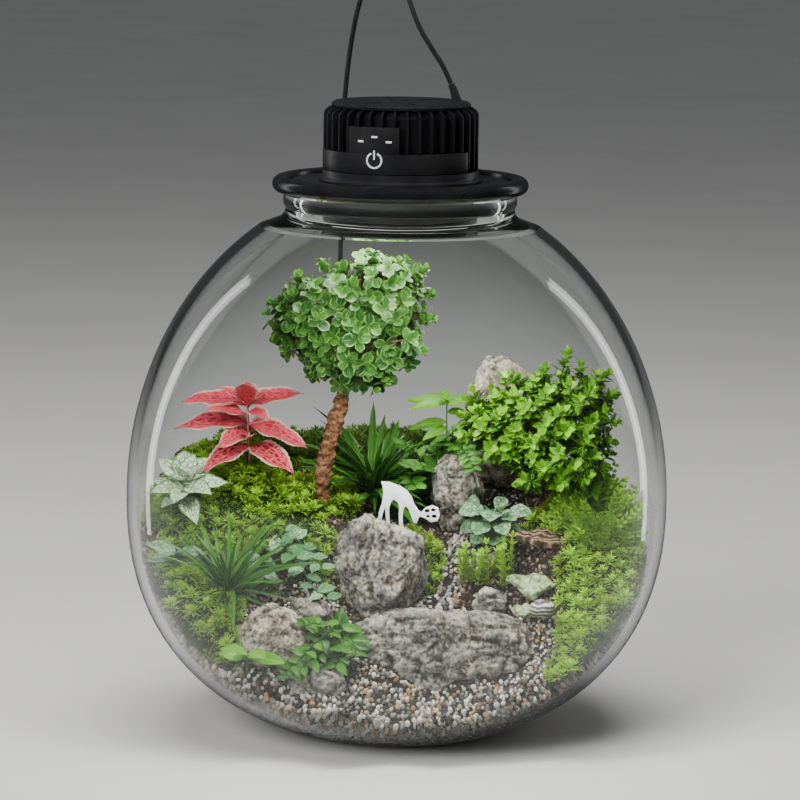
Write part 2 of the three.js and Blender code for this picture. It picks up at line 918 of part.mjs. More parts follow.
// The soil fills the bowl inside the gravel, up to the ground.
function soilBody(gap) {
  const levels = LOWER.filter((z) => z > SOIL.floor + 2 && z < SOIL.rim);
  const inset = JAR.wall + SOIL.margin - gap;
  const outline = [
    [0, SOIL.floor - gap],
    [facetRadius(SOIL.floor, inset), SOIL.floor - gap],
    ...bowl(inset, levels),
    [facetRadius(SOIL.rim, inset), SOIL.rim - gap],
    [facetRadius(SOIL.rim, JAR.wall + FIT), SOIL.rim - gap],
    ...bowl(JAR.wall + FIT, [102, 140, 178]),
    [0, 178],
  ];
  const front = box([400, 400, 400], [0, SOIL.front - gap + 200, 150]);
  return lathe(outline).intersect(front);
}
piece("soil_mound", soilBody(0).intersect(underGround(0)).subtract(holes), soilBrown);

const gravelGrains = (() => {
  const random = dice(77);
  const grains = [];
  for (let i = 0; i < 14; i++) {
    const x = random(-70, 75);
    const y = random(-104, -72);
    const grain = new THREE.OctahedronGeometry(random(2.2, 3.2));
    grain.rotateX(random(0, 3)).rotateY(random(0, 3));
    grains.push(solid(grain.translate(x, y, ground(x, y) + 0.2)));
  }
  return join(grains);
})();
piece(
  "gravel_bed",
  room(FIT, JAR.floor + FIT, 180)
    .intersect(
      join([underGround(0), gravelGrains.subtract(stonesGrown)]).intersect(
        box([400, 400, SOIL.rim - FIT + 10], [0, 0, (SOIL.rim - FIT - 10) / 2]),
      ),
    )
    .subtract(join([soilBody(FIT), holes])),
  gravelMix,
);

// Each stone beds on the ground and against the stones laid before it.
Object.entries(ROCKS).reduce((laid, [name, spec]) => {
  const cuts = name === "rock_under_deer" ? [laid, ...hoofSlots] : [laid];
  piece(name, rock(spec).subtract(join(cuts)), name === "rock_pale" ? paleStone : stone);
  return laid.add(rock(spec, FIT));
}, overGround);
piece("white_deer", deer, acrylic);

// A carpet over the ground inside an outline, its top lumpy and its edge drawn down.
function carpet(outline, thick, { cell = CELL, seed = 1 } = {}) {
  const curve = new THREE.CatmullRomCurve3(
    outline.map(([x, y]) => V(x, y, 0)),
    true,
  );
  const edge = curve.getPoints(outline.length + 3).slice(0, -1);
  const xs = edge.map((p) => p.x);
  const ys = edge.map((p) => p.y);
  const toEdge = (x, y) => Math.min(...edge.map((p) => Math.hypot(p.x - x, p.y - y)));
  const lift = (x, y) => {
    const lumps = 0.8 + 0.35 * Math.sin(x / 6 + seed) * Math.cos(y / 7 - seed);
    return 0.8 + thick * lumps * Math.min(1, toEdge(x, y) / 14);
  };
  const top = below(
    (x, y) => ground(x, y) + lift(x, y),
    [Math.min(...xs) - 1, Math.max(...xs) + 1],
    [Math.min(...ys) - 1, Math.max(...ys) + 1],
    cell,
    0,
  );
  const column = prism(
    edge.map((p) => [p.x, p.y]),
    -5,
    260,
  );
  return top
    .intersect(column)
    .intersect(room(FIT + 0.4, JAR.floor + 2, 190))
    .subtract(join([overGround, stonesGrown, holes]));
}

// A rosette of moss leaves: slim three-sided spikes that spread from one point.
function star(x, y, z, size, seed, spikes = 5) {
  const random = dice(seed);
  const made = [];
  for (let i = 0; i < spikes; i++) {
    const turn = (2 * Math.PI * (i + random(-0.2, 0.2))) / spikes;
    const pitch = rad(random(22, 48));
    const tip = V(
      x + size * Math.cos(turn) * Math.cos(pitch),
      y + size * Math.sin(turn) * Math.cos(pitch),
      z + size * Math.sin(pitch),
    );
    const foot = V(x + 1.9 * Math.cos(turn), y + 1.9 * Math.sin(turn), z - 1.5);
    made.push(spike(foot, tip, 1));
  }
  return join(made);
}
function spike(foot, tip, radius) {
  const along = tip.clone().sub(foot).normalize();
  const u = along.clone().cross(V(0.3, 0.9, 0.2)).normalize();
  const v = along.clone().cross(u);
  const ring = [0, 1, 2].map((i) => {
    const a = (2 * Math.PI * i) / 3;
    return foot
      .clone()
      .addScaledVector(u, radius * Math.cos(a))
      .addScaledVector(v, radius * Math.sin(a));
  });
  return solid(loft([ring, [tip]]));
}

// Whether a solid is clear of others, given as bodies with their boxes.
function clearOf(made, others = placed) {
  const b = made.boundingBox();
  const apart = (o) => [0, 1, 2].some((k) => b.min[k] > o.max[k] || b.max[k] < o.min[k]);
  return others.every(({ body, box: o }) => apart(o) || made.intersect(body).volume() < 1e-5);
}

function mossCarpet(name, outline, thick, stars, material, options = {}) {
  const base = carpet(outline, thick, options);
  const kept = stars
    .map(([x, y, size], i) => {
      const lift = 0.55 * thick;
      return star(x, y, ground(x, y) + lift, size, 7 * i + (options.seed ?? 1));
    })
    .filter((rosette) => clearOf(rosette));
  return piece(name, kept.length ? join([base, ...kept]) : base, material);
}

mossCarpet(
  "moss_left_bank",
  [
    [-150, -4],
    [-128, -24],
    [-104, -28],
    [-84, -20],
    [-62, -30],
    [-40, -24],
    [-34, -2],
    [-24, 18],
    [-38, 42],
    [-74, 48],
    [-112, 60],
    [-142, 38],
  ],
  7,
  [
    [-100, -6, 7],
    [-86, 2, 6],
    [-70, -2, 7],
    [-58, -10, 7],
    [-42, -4, 7],
    [-34, 10, 6],
  ],
  mossGreen,
  { seed: 3 },
);
mossCarpet(
  "moss_left_low",
  [
    [-148, -34],
    [-134, -62],
    [-112, -92],
    [-96, -90],
    [-90, -72],
    [-94, -56],
    [-88, -42],
    [-104, -38],
    [-128, -32],
  ],
  9,
  [
    [-122, -52, 8],
    [-108, -66, 8],
    [-100, -62, 7],
    [-112, -76, 8],
    [-116, -42, 7],
  ],
  brightMoss,
  { seed: 9 },
);
mossCarpet(
  "moss_right_slope",
  [
    [104, 0],
    [96, -20],
    [100, -48],
    [86, -72],
    [96, -90],
    [124, -70],
    [146, -36],
    [152, 6],
    [140, 34],
    [108, 38],
    [78, 26],
    [78, 16],
    [100, 12],
  ],
  8,
  [
    [104, -56, 10],
    [98, -78, 9],
    [128, -46, 9],
    [116, -62, 8],
    [112, -36, 8],
    [134, -20, 8],
  ],
  brightMoss,
  { seed: 5 },
);
mossCarpet(
  "moss_back",
  [
    [-112, 74],
    [-76, 58],
    [-38, 52],
    [-12, 32],
    [14, 24],
    [18, 46],
    [26, 64],
    [40, 100],
    [90, 106],
    [76, 126],
    [20, 142],
    [-40, 138],
    [-88, 116],
  ],
  6,
  [
    [-80, 90, 6],
    [-30, 100, 6],
    [14, 112, 6],
  ],
  mossGreen,
  { seed: 7, cell: 28 },
);
mossCarpet(
  "moss_by_deer",
  [
    [6, 6],
    [14, -6],
    [23, -4],
    [27, 6],
    [23, 18],
    [8, 22],
  ],
  14,
  [
    [18, 4, 6],
    [14, 12, 5],
  ],
  brightMoss,
  { seed: 2, cell: 10 },
);

// The gravel path runs up the valley between the rocks.
const pathEdge = [
  [-8, -30],
  [4, -22],
  [14, -12],
  [27, -5],
  [33, 8],
  [46, 20],
  [56, 8],
  [44, -2],
  [36, -14],
  [26, -22],
  [8, -30],
];
piece(
  "gravel_path",
  below((x, y) => ground(x, y) + 2.6, [-20, 70], [-40, 30], 12, 0)
    .intersect(prism(pathEdge, 10, 200))
    .subtract(join([overGround, stonesGrown])),
  gravelMix,
);

// A curled plate: bark or lichen, lying on the slope.
function plate({ at, size, thick, tilt, seed }) {
  const random = dice(seed);
  const count = 9;
  const rim = (k, z) =>
    Array.from({ length: count }, (_, i) => {
      const a = (2 * Math.PI * i) / count;
      const r = 0.5 * k * (0.82 + 0.18 * Math.sin(3 * a + seed) + 0.1 * Math.cos(5 * a));
      return V(size[0] * r * Math.cos(a), size[1] * r * Math.sin(a), z + random(-0.3, 0.3));
    });
  const geometry = loft([rim(0.8, 0), rim(1, thick * 0.4), rim(0.86, thick)]);
  geometry.rotateX(rad(tilt[0])).rotateY(rad(tilt[1])).translate(...at);
  return solid(geometry);
}
const cutFree = (made) => made.subtract(join([overGround, stonesGrown]));
piece(
  "bark_chip",
  cutFree(plate({ at: [84, 2, 112], size: [40, 20], thick: 5, tilt: [24, 8], seed: 4 })),
  bark,
);
piece(
  "lichen_plate_1",
  cutFree(plate({ at: [80, -22, 89], size: [34, 22], thick: 5, tilt: [38, 4], seed: 6 })),
  lichen,
);
piece(
  "lichen_plate_2",
  cutFree(plate({ at: [75, -34, 76], size: [20, 12], thick: 4, tilt: [40, 0], seed: 7 })),
  lichen,
);

// ---- Foliage ----------------------------------------------------------------------------

// A leaf from its stalk at the origin along +X, face up and arched along: a slim lens across,
// or, for a small flat leaf, a level face over a keel.
// Rows are [share of the length, share of the half width]; the last is the tip.
const OVAL = [
  [0, 0.1],
  [0.45, 1],
  [0.8, 0.62],
  [1, 0],
];
const SMALL = [
  [0, 0.12],
  [0.52, 1],
  [1, 0],
];
const LANCE = [
  [0, 0.14],
  [0.4, 1],
  [1, 0],
];
const TOOTHED = [
  [0, 0.06],
  [0.18, 0.12],
  [0.34, 0.84],
  [0.42, 0.76],
  [0.58, 1],
  [0.66, 0.74],
  [1, 0],
];
const COMB = [
  [0, 0.09],
  [0.18, 0.7],
  [0.28, 0.22],
  [0.44, 1],
  [0.54, 0.24],
  [0.7, 0.8],
  [0.8, 0.2],
  [0.9, 0.44],
  [1, 0],
];
const ROOT = 0.5; // how far out from the stem's middle line a leaf starts
function leafGeometry(spec, grow) {
  const { length, width, thick = 0.9, arch = 0.12, cup = 0.15, rows = OVAL, flat = false } = spec;
  const rings = rows.map(([t, share]) => {
    const x = ROOT + length * t + (t === 1 ? grow : 0);
    const w = (width / 2) * share + grow;
    const z = -arch * length * t * t;
    if (share === 0) return [V(x, 0, z)];
    const lift = cup * w;
    const keel = V(x, 0, z - thick / 2 - grow);
    if (flat) return [V(x, w, z + thick / 2 + grow), V(x, -w, z + thick / 2 + grow), keel];
    return [V(x, w, z + lift), V(x, 0, z + thick / 2 + grow), V(x, -w, z + lift), keel];
  });
  return loft(rings);
}

// A leaf's turn in space, from angles in degrees or from the ways its tip and its face look.
const FACING = 42; // how far leaves that point sideways roll their faces to the front
function turned(azimuth, pitch, roll = 0) {
  const front = FACING * Math.cos(rad(azimuth));
  const angles = new THREE.Euler(rad(roll + front), -rad(pitch), rad(azimuth), "ZYX");
  return new THREE.Quaternion().setFromEuler(angles);
}
function aimed(tip, face) {
  const x = tip.clone().normalize();
  const z = face.clone().addScaledVector(x, -face.dot(x)).normalize();
  const basis = new THREE.Matrix4().makeBasis(x, z.clone().cross(x), z);
  return new THREE.Quaternion().setFromRotationMatrix(basis);
}
const leafAt = (spec, at, turn, grow = 0) =>
  leafGeometry(spec, grow).applyQuaternion(turn).translate(at.x, at.y, at.z);

const LEAF_GAP = 0.4;
function insideJar(geometry) {
  const p = geometry.getAttribute("position");
  for (let i = 0; i < p.count; i++) {
    const z = p.getZ(i);
    if (z > LAMP.skirtBottom - 3) return false;
    if (Math.hypot(p.getX(i), p.getY(i)) > jarRadius(z, JAR.wall) - 1.6) return false;
  }
  return true;
}

// Bends a leaf up and aside until it is clear of other pieces and of its own plant's blades,
// or leaves it off.
const BENDS = [
  [0, 0],
  [0, 14],
  [18, 6],
  [-18, 6],
  [0, 28],
  [34, 16],
  [-34, 16],
  [0, 44],
];
function tryLeaf(own, spec, at, turn) {
  const blade = { ...spec, rows: [[0.3, 0.5], ...spec.rows.filter(([t]) => t > 0.35)] };
  for (const [aside, up] of BENDS) {
    const bend = new THREE.Euler(0, -rad(up), rad(aside), "ZYX");
    const bent = turn.clone().multiply(new THREE.Quaternion().setFromEuler(bend));
    const grown = leafAt(spec, at, bent, LEAF_GAP);
    if (!insideJar(grown) || !clearOf(solid(grown))) continue;
    if (!clearOf(solid(leafAt(blade, at, bent)), own)) continue;
    const body = solid(leafAt(spec, at, bent));
    own.push({ body, box: body.boundingBox() });
    return body;
  }
  return null;
}

const plantPiece = (name, parts, material) =>
  piece(name, join(parts.filter((part) => part)), material);

// A stem through points, lifted point by point until it is clear of what lies there.
function clearStem(points, from, to, sides = 3) {
  for (let lift = 0; lift < 12; lift++) {
    const way = points.map((p, i) => (i === 0 ? p : V(p.x, p.y, p.z + lift)));
    if (clearOf(bar(way, from + LEAF_GAP, to + LEAF_GAP, sides))) {
      return { way, made: bar(way, from, to, sides) };
    }
  }
  return null;
}

// Leaves in pairs or in turn along a stem.
function leafyStem(own, way, spec, { from = 0.2, count = 5, pair = true, pitch = 20, seed = 1 } = {}) {
  const random = dice(seed);
  const curve = new THREE.CatmullRomCurve3(way);
  const made = [];
  for (let i = 0; i < count; i++) {
    const t = THREE.MathUtils.lerp(from, 0.98, count === 1 ? 1 : i / (count - 1));
    const at = curve.getPointAt(t);
    const along = curve.getTangentAt(t);
    const heading = THREE.MathUtils.radToDeg(Math.atan2(along.y, along.x));
    const size = random(0.85, 1.1) * (1 - 0.25 * t);
    const sized = { ...spec, length: spec.length * size, width: spec.width * size };
    const sides = pair ? [70, -70] : [i % 2 ? 65 : -65];
    sides.forEach((side) => {
      const azimuth = heading + side + random(-18, 18) + (i % 2 && pair ? 60 : 0);
      const turn = turned(azimuth, pitch + random(-12, 18), random(-20, 20));
      made.push(tryLeaf(own, sized, at, turn));
    });
  }
  const last = way[way.length - 1];
  made.push(tryLeaf(own, spec, last, turned(random(0, 360), 60)));
  return made;
}

// A lumpy core, and leaves that stand off its skin like shingles, each lifted by an angle.
function lump([x, y, z], [a, b, c]) {
  const geometry = new THREE.IcosahedronGeometry(1).scale(a, b, c);
  return solid(geometry.translate(x, y, z));
}
function coverWithLeaves(own, core, lumps, spec, count, seed, lift) {
  const random = dice(seed);
  const skin = new THREE.Mesh(geometryOf(core));
  const caster = new THREE.Raycaster();
  const golden = Math.PI * (3 - Math.sqrt(5));
  const area = lumps.map(([, [a, b, c]]) => a * b + b * c + a * c);
  const total = area.reduce((sum, next) => sum + next);
  return lumps.flatMap(([middle, [a, b, c]], k) => {
    const share = Math.round((count * area[k]) / total);
    return Array.from({ length: share }, (_, i) => {
      const h = THREE.MathUtils.lerp(-0.9, 0.98, (i + 0.5) / share);
      const flat = Math.sqrt(1 - h * h);
      const out = V(flat * Math.cos(i * golden + k), flat * Math.sin(i * golden + k), h);
      const from = V(...middle).addScaledVector(out, 2 * Math.max(a, b, c));
      caster.set(from, out.clone().negate());
      const [hit] = caster.intersectObject(skin);
      if (!hit) return null;
      const normal = hit.face.normal;
      const aside = V(random(-1, 1), random(-1, 1), random(-1, 1)).cross(normal).normalize();
      const up = rad(lift + random(-12, 16));
      const tip = aside.multiplyScalar(Math.cos(up)).addScaledVector(normal, Math.sin(up));
      const size = random(0.8, 1.2);
      const sized = { ...spec, length: spec.length * size, width: spec.width * size };
      const at = hit.point.clone().addScaledVector(normal, -ROOT);
      return tryLeaf(own, sized, at, aimed(tip, normal));
    });
  });
}

// The little tree: a rough leaning trunk under a crown of small round leaves.
const trunkWay = [
  stemFoot(STEMS.ficus),
  V(-44.5, 8, 150),
  V(-42.5, 9, 160),
  V(-39.5, 10, 172),
  V(-36.5, 11, 184),
  V(-33, 12, 197),
  V(-31.5, 12, 208),
];
const trunk = (extra) => {
  const random = dice(3);
  const rings = trunkWay.map((p, k) => {
    const r = [5, 5, 5.6, 4.7, 5.2, 4.4, 3.8][k] + extra;
    return Array.from({ length: 7 }, (_, i) => {
      const a = (2 * Math.PI * i) / 7;
      const rough = k === 0 ? 0 : random(-0.5, 0.5);
      return V(p.x + (r + rough) * Math.cos(a), p.y + (r + rough) * Math.sin(a), p.z);
    });
  });
  return solid(loft(rings));
};
piece("ficus_trunk", trunk(0), trunkBrown);

const CROWN = [
  [
    [-29, 12, 240],
    [38, 26, 29],
  ],
  [
    [-14, 12, 259],
    [27, 20, 20],
  ],
  [
    [-5, 10, 234],
    [20, 18, 21],
  ],
  [
    [-54, 12, 245],
    [20, 16, 19],
  ],
  [
    [-28, 11, 217],
    [28, 18, 14],
  ],
];
const CORE = 0.84; // share of a lump's size that its core fills, under the leaves
const SMALL_ROUND = { length: 14, width: 12, arch: 0.05, rows: SMALL, flat: true };
const crownSprigs = [
  [V(-16, 12, 262), V(-17, 12, 272), V(-15.7, 12, 281)],
  [V(-2, 12, 262), V(8, 11, 270), V(13, 10, 272)],
  [V(-34, 12, 258), V(-42, 12, 268), V(-44, 12, 274)],
  [V(-60, 12, 238), V(-68, 12, 240), V(-71, 12, 240)],
].map((way) => ({ way, made: bar(way, 0.9, 0.7, 4) }));
const coreOf = (lumps) => join(lumps.map(([at, size]) => lump(at, size.map((s) => s * CORE))));
const crownCore = coreOf(CROWN).subtract(trunk(FIT));
const crownLeaves = [{ body: crownCore, box: crownCore.boundingBox() }];
plantPiece(
  "ficus_crown",
  [
    crownCore,
    ...crownSprigs.map((sprig) => sprig.made),
    ...crownSprigs.flatMap(({ way }, i) =>
      leafyStem(crownLeaves, way, SMALL_ROUND, { from: 0.35, count: 1, seed: 60 + i }),
    ),
    ...coverWithLeaves(crownLeaves, crownCore, CROWN, SMALL_ROUND, 72, 12, 15),
  ],
  ficusGreen,
);

// A leafy clump from one foot: each leaf is [rise up the stem, azimuth, pitch, length, width].
function clump(name, place, height, leaves, spec, material, { lean = [0, 0], stem = 1.4 } = {}) {
  const foot = stemFoot(place);
  const [x, y] = place;
  const top = V(x + lean[0], y + lean[1], ground(x, y) + height);
  const collar = V(x, y, ground(x, y) + 3);
  const made = [bar([foot, collar, top], place[2], stem, 5)];
  const own = [];
  leaves.forEach(([rise, azimuth, pitch, length, width, roll = 0]) => {
    const at = collar.clone().lerp(top, rise);
    made.push(tryLeaf(own, { ...spec, length, width }, at, turned(azimuth, pitch, roll)));
  });
  return plantPiece(name, made, material);
}

// Red and pink leaves with toothed edges, in tiers round one stem.
clump(
  "red_fittonia",
  STEMS.redFittonia,
  44,
  [
    [1, 168, 12, 42, 16, 10],
    [1, 8, 22, 34, 15, -10],
    [1, 268, 50, 26, 14],
    [0.95, 95, 40, 28, 15],
    [0.72, 186, 8, 44, 17, 14],
    [0.7, 350, -8, 38, 18, -16],
    [0.62, 130, 16, 30, 15],
    [0.6, 45, 14, 30, 15],
    [0.62, 235, -4, 26, 14],
    [0.4, 226, -6, 36, 17, 10],
    [0.4, 318, -8, 36, 18, -10],
    [0.5, 272, 26, 16, 9],
  ],
  { rows: TOOTHED, arch: 0.26, cup: 0.22, thick: 0.9 },
  pink,
  { lean: [-2, -2] },
);

// White leaves with green veins, low against the glass.
clump(
  "white_fittonia",
  STEMS.whiteFittonia,
  22,
  [
    [1, 150, 36, 24, 13],
    [1, 95, 44, 26, 15],
    [1, 30, 34, 26, 14],
    [0.8, 345, 16, 26, 14],
    [0.8, 310, 8, 24, 14],
    [0.7, 262, 4, 26, 13],
    [0.7, 220, 12, 22, 13],
    [0.7, 185, 24, 20, 12],
    [0.9, 60, 62, 20, 12],
    [0.5, 288, -14, 28, 13],
  ],
  { rows: OVAL, arch: 0.2, cup: 0.25, thick: 0.9 },
  white,
);

// Narrow arching grass from one crown.
const grassBlades = (() => {
  const random = dice(21);
  return Array.from({ length: 13 }, (_, i) => [
    random(0.1, 1),
    i * 137.5,
    random(28, 82),
    random(34, 60),
    random(2.6, 3.6),
    random(-20, 20),
  ]);
})();
clump(
  "grass_tuft",
  STEMS.grass,
  8,
  grassBlades,
  {
    rows: [
      [0, 0.6],
      [0.5, 1],
      [1, 0],
    ],
    arch: 0.42,
    cup: 0.1,
    thick: 0.9,
  },
  grassGreen,
  { stem: 2.6 },
);

// Creeping stems that lie over the slope, with leaves in turn.
function creeper(name, place, ways, spec, options, material) {
  const [x, y] = place;
  const collar = V(x, y, ground(x, y) + 5);
  const made = [bar([stemFoot(place), collar.clone().setZ(collar.z + 1)], place[2], 1.3, 4)];
  const own = [];
  ways.forEach((points, i) => {
    const way = [collar, ...points.map(([px, py, up]) => V(px, py, ground(px, py) + up))];
    const stem = clearStem(way, 0.9, 0.7);
    if (!stem) return;
    made.push(stem.made);
    made.push(...leafyStem(own, stem.way, spec, { ...options, seed: 30 + 7 * i }));
  });
  return plantPiece(name, made, material);
}
creeper(
  "spotted_creeper",
  STEMS.spottedCreeper,
  [
    [
      [-68, -28, 18],
      [-58, -34, 20],
      [-48, -42, 22],
      [-38, -50, 26],
    ],
    [
      [-66, -20, 16],
      [-54, -24, 14],
      [-42, -32, 20],
    ],
    [
      [-80, -34, 14],
      [-76, -46, 16],
    ],
  ],
  { length: 14, width: 8.5, arch: 0.2, rows: SMALL, flat: true },
  { count: 4, pair: false, pitch: 18 },
  creeperGreen,
);
creeper(
  "trailing_creeper",
  STEMS.trailingCreeper,
  [
    [
      [-34, -62, 12],
      [-38, -72, 18],
      [-50, -82, 16],
      [-60, -88, 12],
    ],
    [
      [-30, -58, 16],
      [-24, -66, 18],
      [-22, -72, 18],
    ],
    [
      [-44, -62, 22],
      [-52, -72, 28],
    ],
  ],
  { length: 14, width: 7, arch: 0.25, rows: SMALL, flat: true },
  { count: 5, pair: false, pitch: 10 },
  darkLeaf,
);
clump(
  "front_leaves",
  STEMS.frontLeaves,
  10,
  [
    [1, 200, 12, 15, 12],
    [1, 300, 14, 20, 10],
    [0.8, 330, 4, 24, 9],
    [0.9, 250, 24, 13, 9],
  ],
  { rows: SMALL, flat: true, arch: 0.15 },
  limeLeaf,
);
clump(
  "pale_leaves",
  STEMS.paleLeaves,
  12,
  [
    [1, 175, 20, 18, 9],
    [1, 250, 10, 20, 10],
    [0.9, 320, 14, 22, 9],
    [0.8, 290, 26, 16, 8],
  ],
  { rows: SMALL, flat: true, arch: 0.2 },
  silverLeaf,
);

// The bush at the right: glossy leaves on short shoots over a dense middle.
const BUSH = [
  [
    [80, 29, 178],
    [29, 18, 25],
  ],
  [
    [107, 29, 186],
    [21, 16, 20],
  ],
  [
    [60, 29, 174],
    [21, 14, 20],
  ],
  [
    [98, 25, 158],
    [29, 19, 23],
  ],
];
const bushCore = coreOf(BUSH);
const bushLeaves = [{ body: bushCore, box: bushCore.boundingBox() }];
const bushShoots = [
  [V(98, 30, 196), V(101, 31, 208), V(102, 32, 218)],
  [V(108, 30, 192), V(118, 31, 202), V(125, 32, 208)],
  [V(108, 28, 186), V(120, 29, 194), V(129, 29, 197)],
  [V(84, 30, 190), V(86, 30, 202), V(88, 30, 209)],
  [V(70, 30, 186), V(69, 30, 198), V(69, 29, 205)],
  [V(52, 30, 178), V(46, 28, 188), V(43, 27, 192)],
  [V(110, 26, 170), V(120, 24, 172), V(126, 22, 170)],
].map((way) => ({ way, made: bar(way, 0.9, 0.7, 4) }));
const GLOSSY = { length: 15, width: 9, arch: 0.06, rows: SMALL, flat: true };
plantPiece(
  "bush_right",
  [
    bar([stemFoot(STEMS.bush), V(88, 34, 140), V(88, 28, 160)], 2.7, 2.4, 6),
    bushCore,
    ...bushShoots.map((shoot) => shoot.made),
    ...bushShoots.flatMap(({ way }, i) =>
      leafyStem(bushLeaves, way, GLOSSY, { from: 0.35, count: 1, pitch: 30, seed: 80 + i }),
    ),
    ...coverWithLeaves(bushLeaves, bushCore, BUSH, GLOSSY, 60, 33, 22),
  ],
  darkLeaf,
);

creeper(
  "vine_leaves",
  STEMS.vine,
  [
    [
      [20, 34, 34],
      [14, 24, 40],
      [8, 16, 44],
    ],
    [
      [30, 40, 52],
      [40, 12, 62],
      [46, 2, 52],
    ],
    [
      [12, 44, 38],
      [0, 36, 44],
    ],
  ],
  { length: 13, width: 7, arch: 0.2, rows: SMALL, flat: true },
  { count: 4, pair: false, pitch: 18 },
  fernGreen,
);
clump(
  "silver_plant",
  STEMS.silver,
  20,
  [
    [1, 188, 10, 22, 12],
    [1, 230, 16, 20, 11],
    [1, 270, 8, 20, 12],
    [0.9, 310, 12, 20, 11],
    [0.9, 350, 14, 18, 10],
    [1, 150, 30, 18, 10],
    [0.7, 205, -10, 24, 11],
    [0.7, 285, -12, 22, 11],
    [1, 60, 50, 16, 9],
  ],
  { rows: SMALL, flat: true, arch: 0.25 },
  silverLeaf,
);

const frondFan = (() => {
  const random = dice(44);
  return Array.from({ length: 7 }, (_, i) => [
    random(0.3, 1),
    (i * 360) / 7 + random(-12, 12),
    random(12, 66),
    random(26, 38),
    random(9, 12),
    random(-20, 20),
  ]);
})();
clump(
  "selaginella",
  STEMS.selaginella,
  16,
  frondFan,
  { rows: COMB, arch: 0.3, cup: 0.05, thick: 0.9 },
  fernGreen,
  { stem: 1.8 },
);

const fernFan = (() => {
  const random = dice(51);
  return Array.from({ length: 11 }, (_, i) => [
    random(0.2, 1),
    i * 137.5,
    random(20, 70),
    random(34, 54),
    random(4, 6.5),
    random(-20, 20),
  ]);
})();
clump(
  "back_fern",
  STEMS.fern,
  12,
  fernFan,
  { rows: LANCE, arch: 0.35, cup: 0.1, thick: 0.9 },
  grassGreen,
  { stem: 2 },
);

clump(
  "seedling",
  STEMS.seedling,
  62,
  [
    [1, 172, 8, 26, 8],
    [1, 200, 0, 24, 7],
    [1, 20, 18, 18, 6],
    [1, 330, 14, 16, 6],
    [1, 250, 30, 14, 6],
    [1, 100, 34, 16, 6],
    [0.8, 185, -4, 24, 8],
    [0.75, 225, -10, 20, 7],
  ],
  { rows: LANCE, arch: 0.2, cup: 0.15, thick: 0.9 },
  limeLeaf,
  { stem: 0.9 },
);

// Upright moss: a few shoots from one foot, each set round with short spikes.
const mossShoots = (() => {
  const [x, y] = STEMS.uprightMoss;
  const random = dice(91);
  const foot = V(x, y, ground(x, y) + 3);
  const made = [bar([stemFoot(STEMS.uprightMoss), V(x, y, foot.z + 3)], 2, 2, 5)];
  for (let i = 0; i < 5; i++) {
    const tip = V(x - 14 + 7 * i, y + random(-6, 2), foot.z + random(18, 27));
    made.push(spike(foot, tip, 1.8));
    for (let k = 0; k < 3; k++) {
      const at = foot.clone().lerp(tip, 0.5 + 0.14 * k);
      const a = k * 2.4 + i;
      const end = V(at.x + 6 * Math.cos(a), at.y + 6 * Math.sin(a), at.z + 4);
      made.push(spike(at, end, 0.7));
    }
  }
  return made;
})();
piece("upright_moss", join(mossShoots.filter((m, i) => i === 0 || clearOf(m))), brightMoss);

export default root;
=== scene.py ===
import math
import random

import bmesh
import bpy
import numpy as np
from mathutils import Euler, Matrix, Quaternion, Vector, noise
from mathutils.bvhtree import BVHTree


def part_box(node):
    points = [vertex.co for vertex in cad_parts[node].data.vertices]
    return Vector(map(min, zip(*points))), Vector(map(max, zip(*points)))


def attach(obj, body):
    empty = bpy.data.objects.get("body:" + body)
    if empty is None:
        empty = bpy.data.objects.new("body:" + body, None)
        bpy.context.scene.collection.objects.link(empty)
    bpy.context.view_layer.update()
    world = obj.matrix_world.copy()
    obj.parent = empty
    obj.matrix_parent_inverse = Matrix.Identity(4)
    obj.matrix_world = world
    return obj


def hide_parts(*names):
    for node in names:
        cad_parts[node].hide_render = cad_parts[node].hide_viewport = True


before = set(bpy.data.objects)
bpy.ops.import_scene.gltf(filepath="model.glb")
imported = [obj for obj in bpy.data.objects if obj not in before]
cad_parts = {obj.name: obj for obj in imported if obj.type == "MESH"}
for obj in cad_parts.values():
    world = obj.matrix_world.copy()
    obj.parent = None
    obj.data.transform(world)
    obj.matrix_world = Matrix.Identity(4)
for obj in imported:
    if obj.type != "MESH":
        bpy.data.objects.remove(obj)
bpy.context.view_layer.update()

# ---- Camera ---------------------------------------------------------------------------------
# The photograph is taken from far off with a long lens, a little above the jar's middle, and
# it leans by half a degree.
CAMERA_PLACE = Vector((0.0013, -2.2, 0.534))
CAMERA_AIM = Vector((0.0013, 0, 0.1965))
CAMERA_LEAN = math.radians(0.7)

camera_data = bpy.data.cameras.new("camera")
camera_data.sensor_width = 36
camera_data.lens = 169.3
camera = bpy.data.objects.new("camera", camera_data)
camera.location = CAMERA_PLACE
camera.rotation_mode = "QUATERNION"
camera.rotation_quaternion = (CAMERA_AIM - CAMERA_PLACE).to_track_quat("-Z", "Y") @ Quaternion(
    (0, 0, 1), CAMERA_LEAN
)
bpy.context.collection.objects.link(camera)
bpy.context.scene.camera = camera

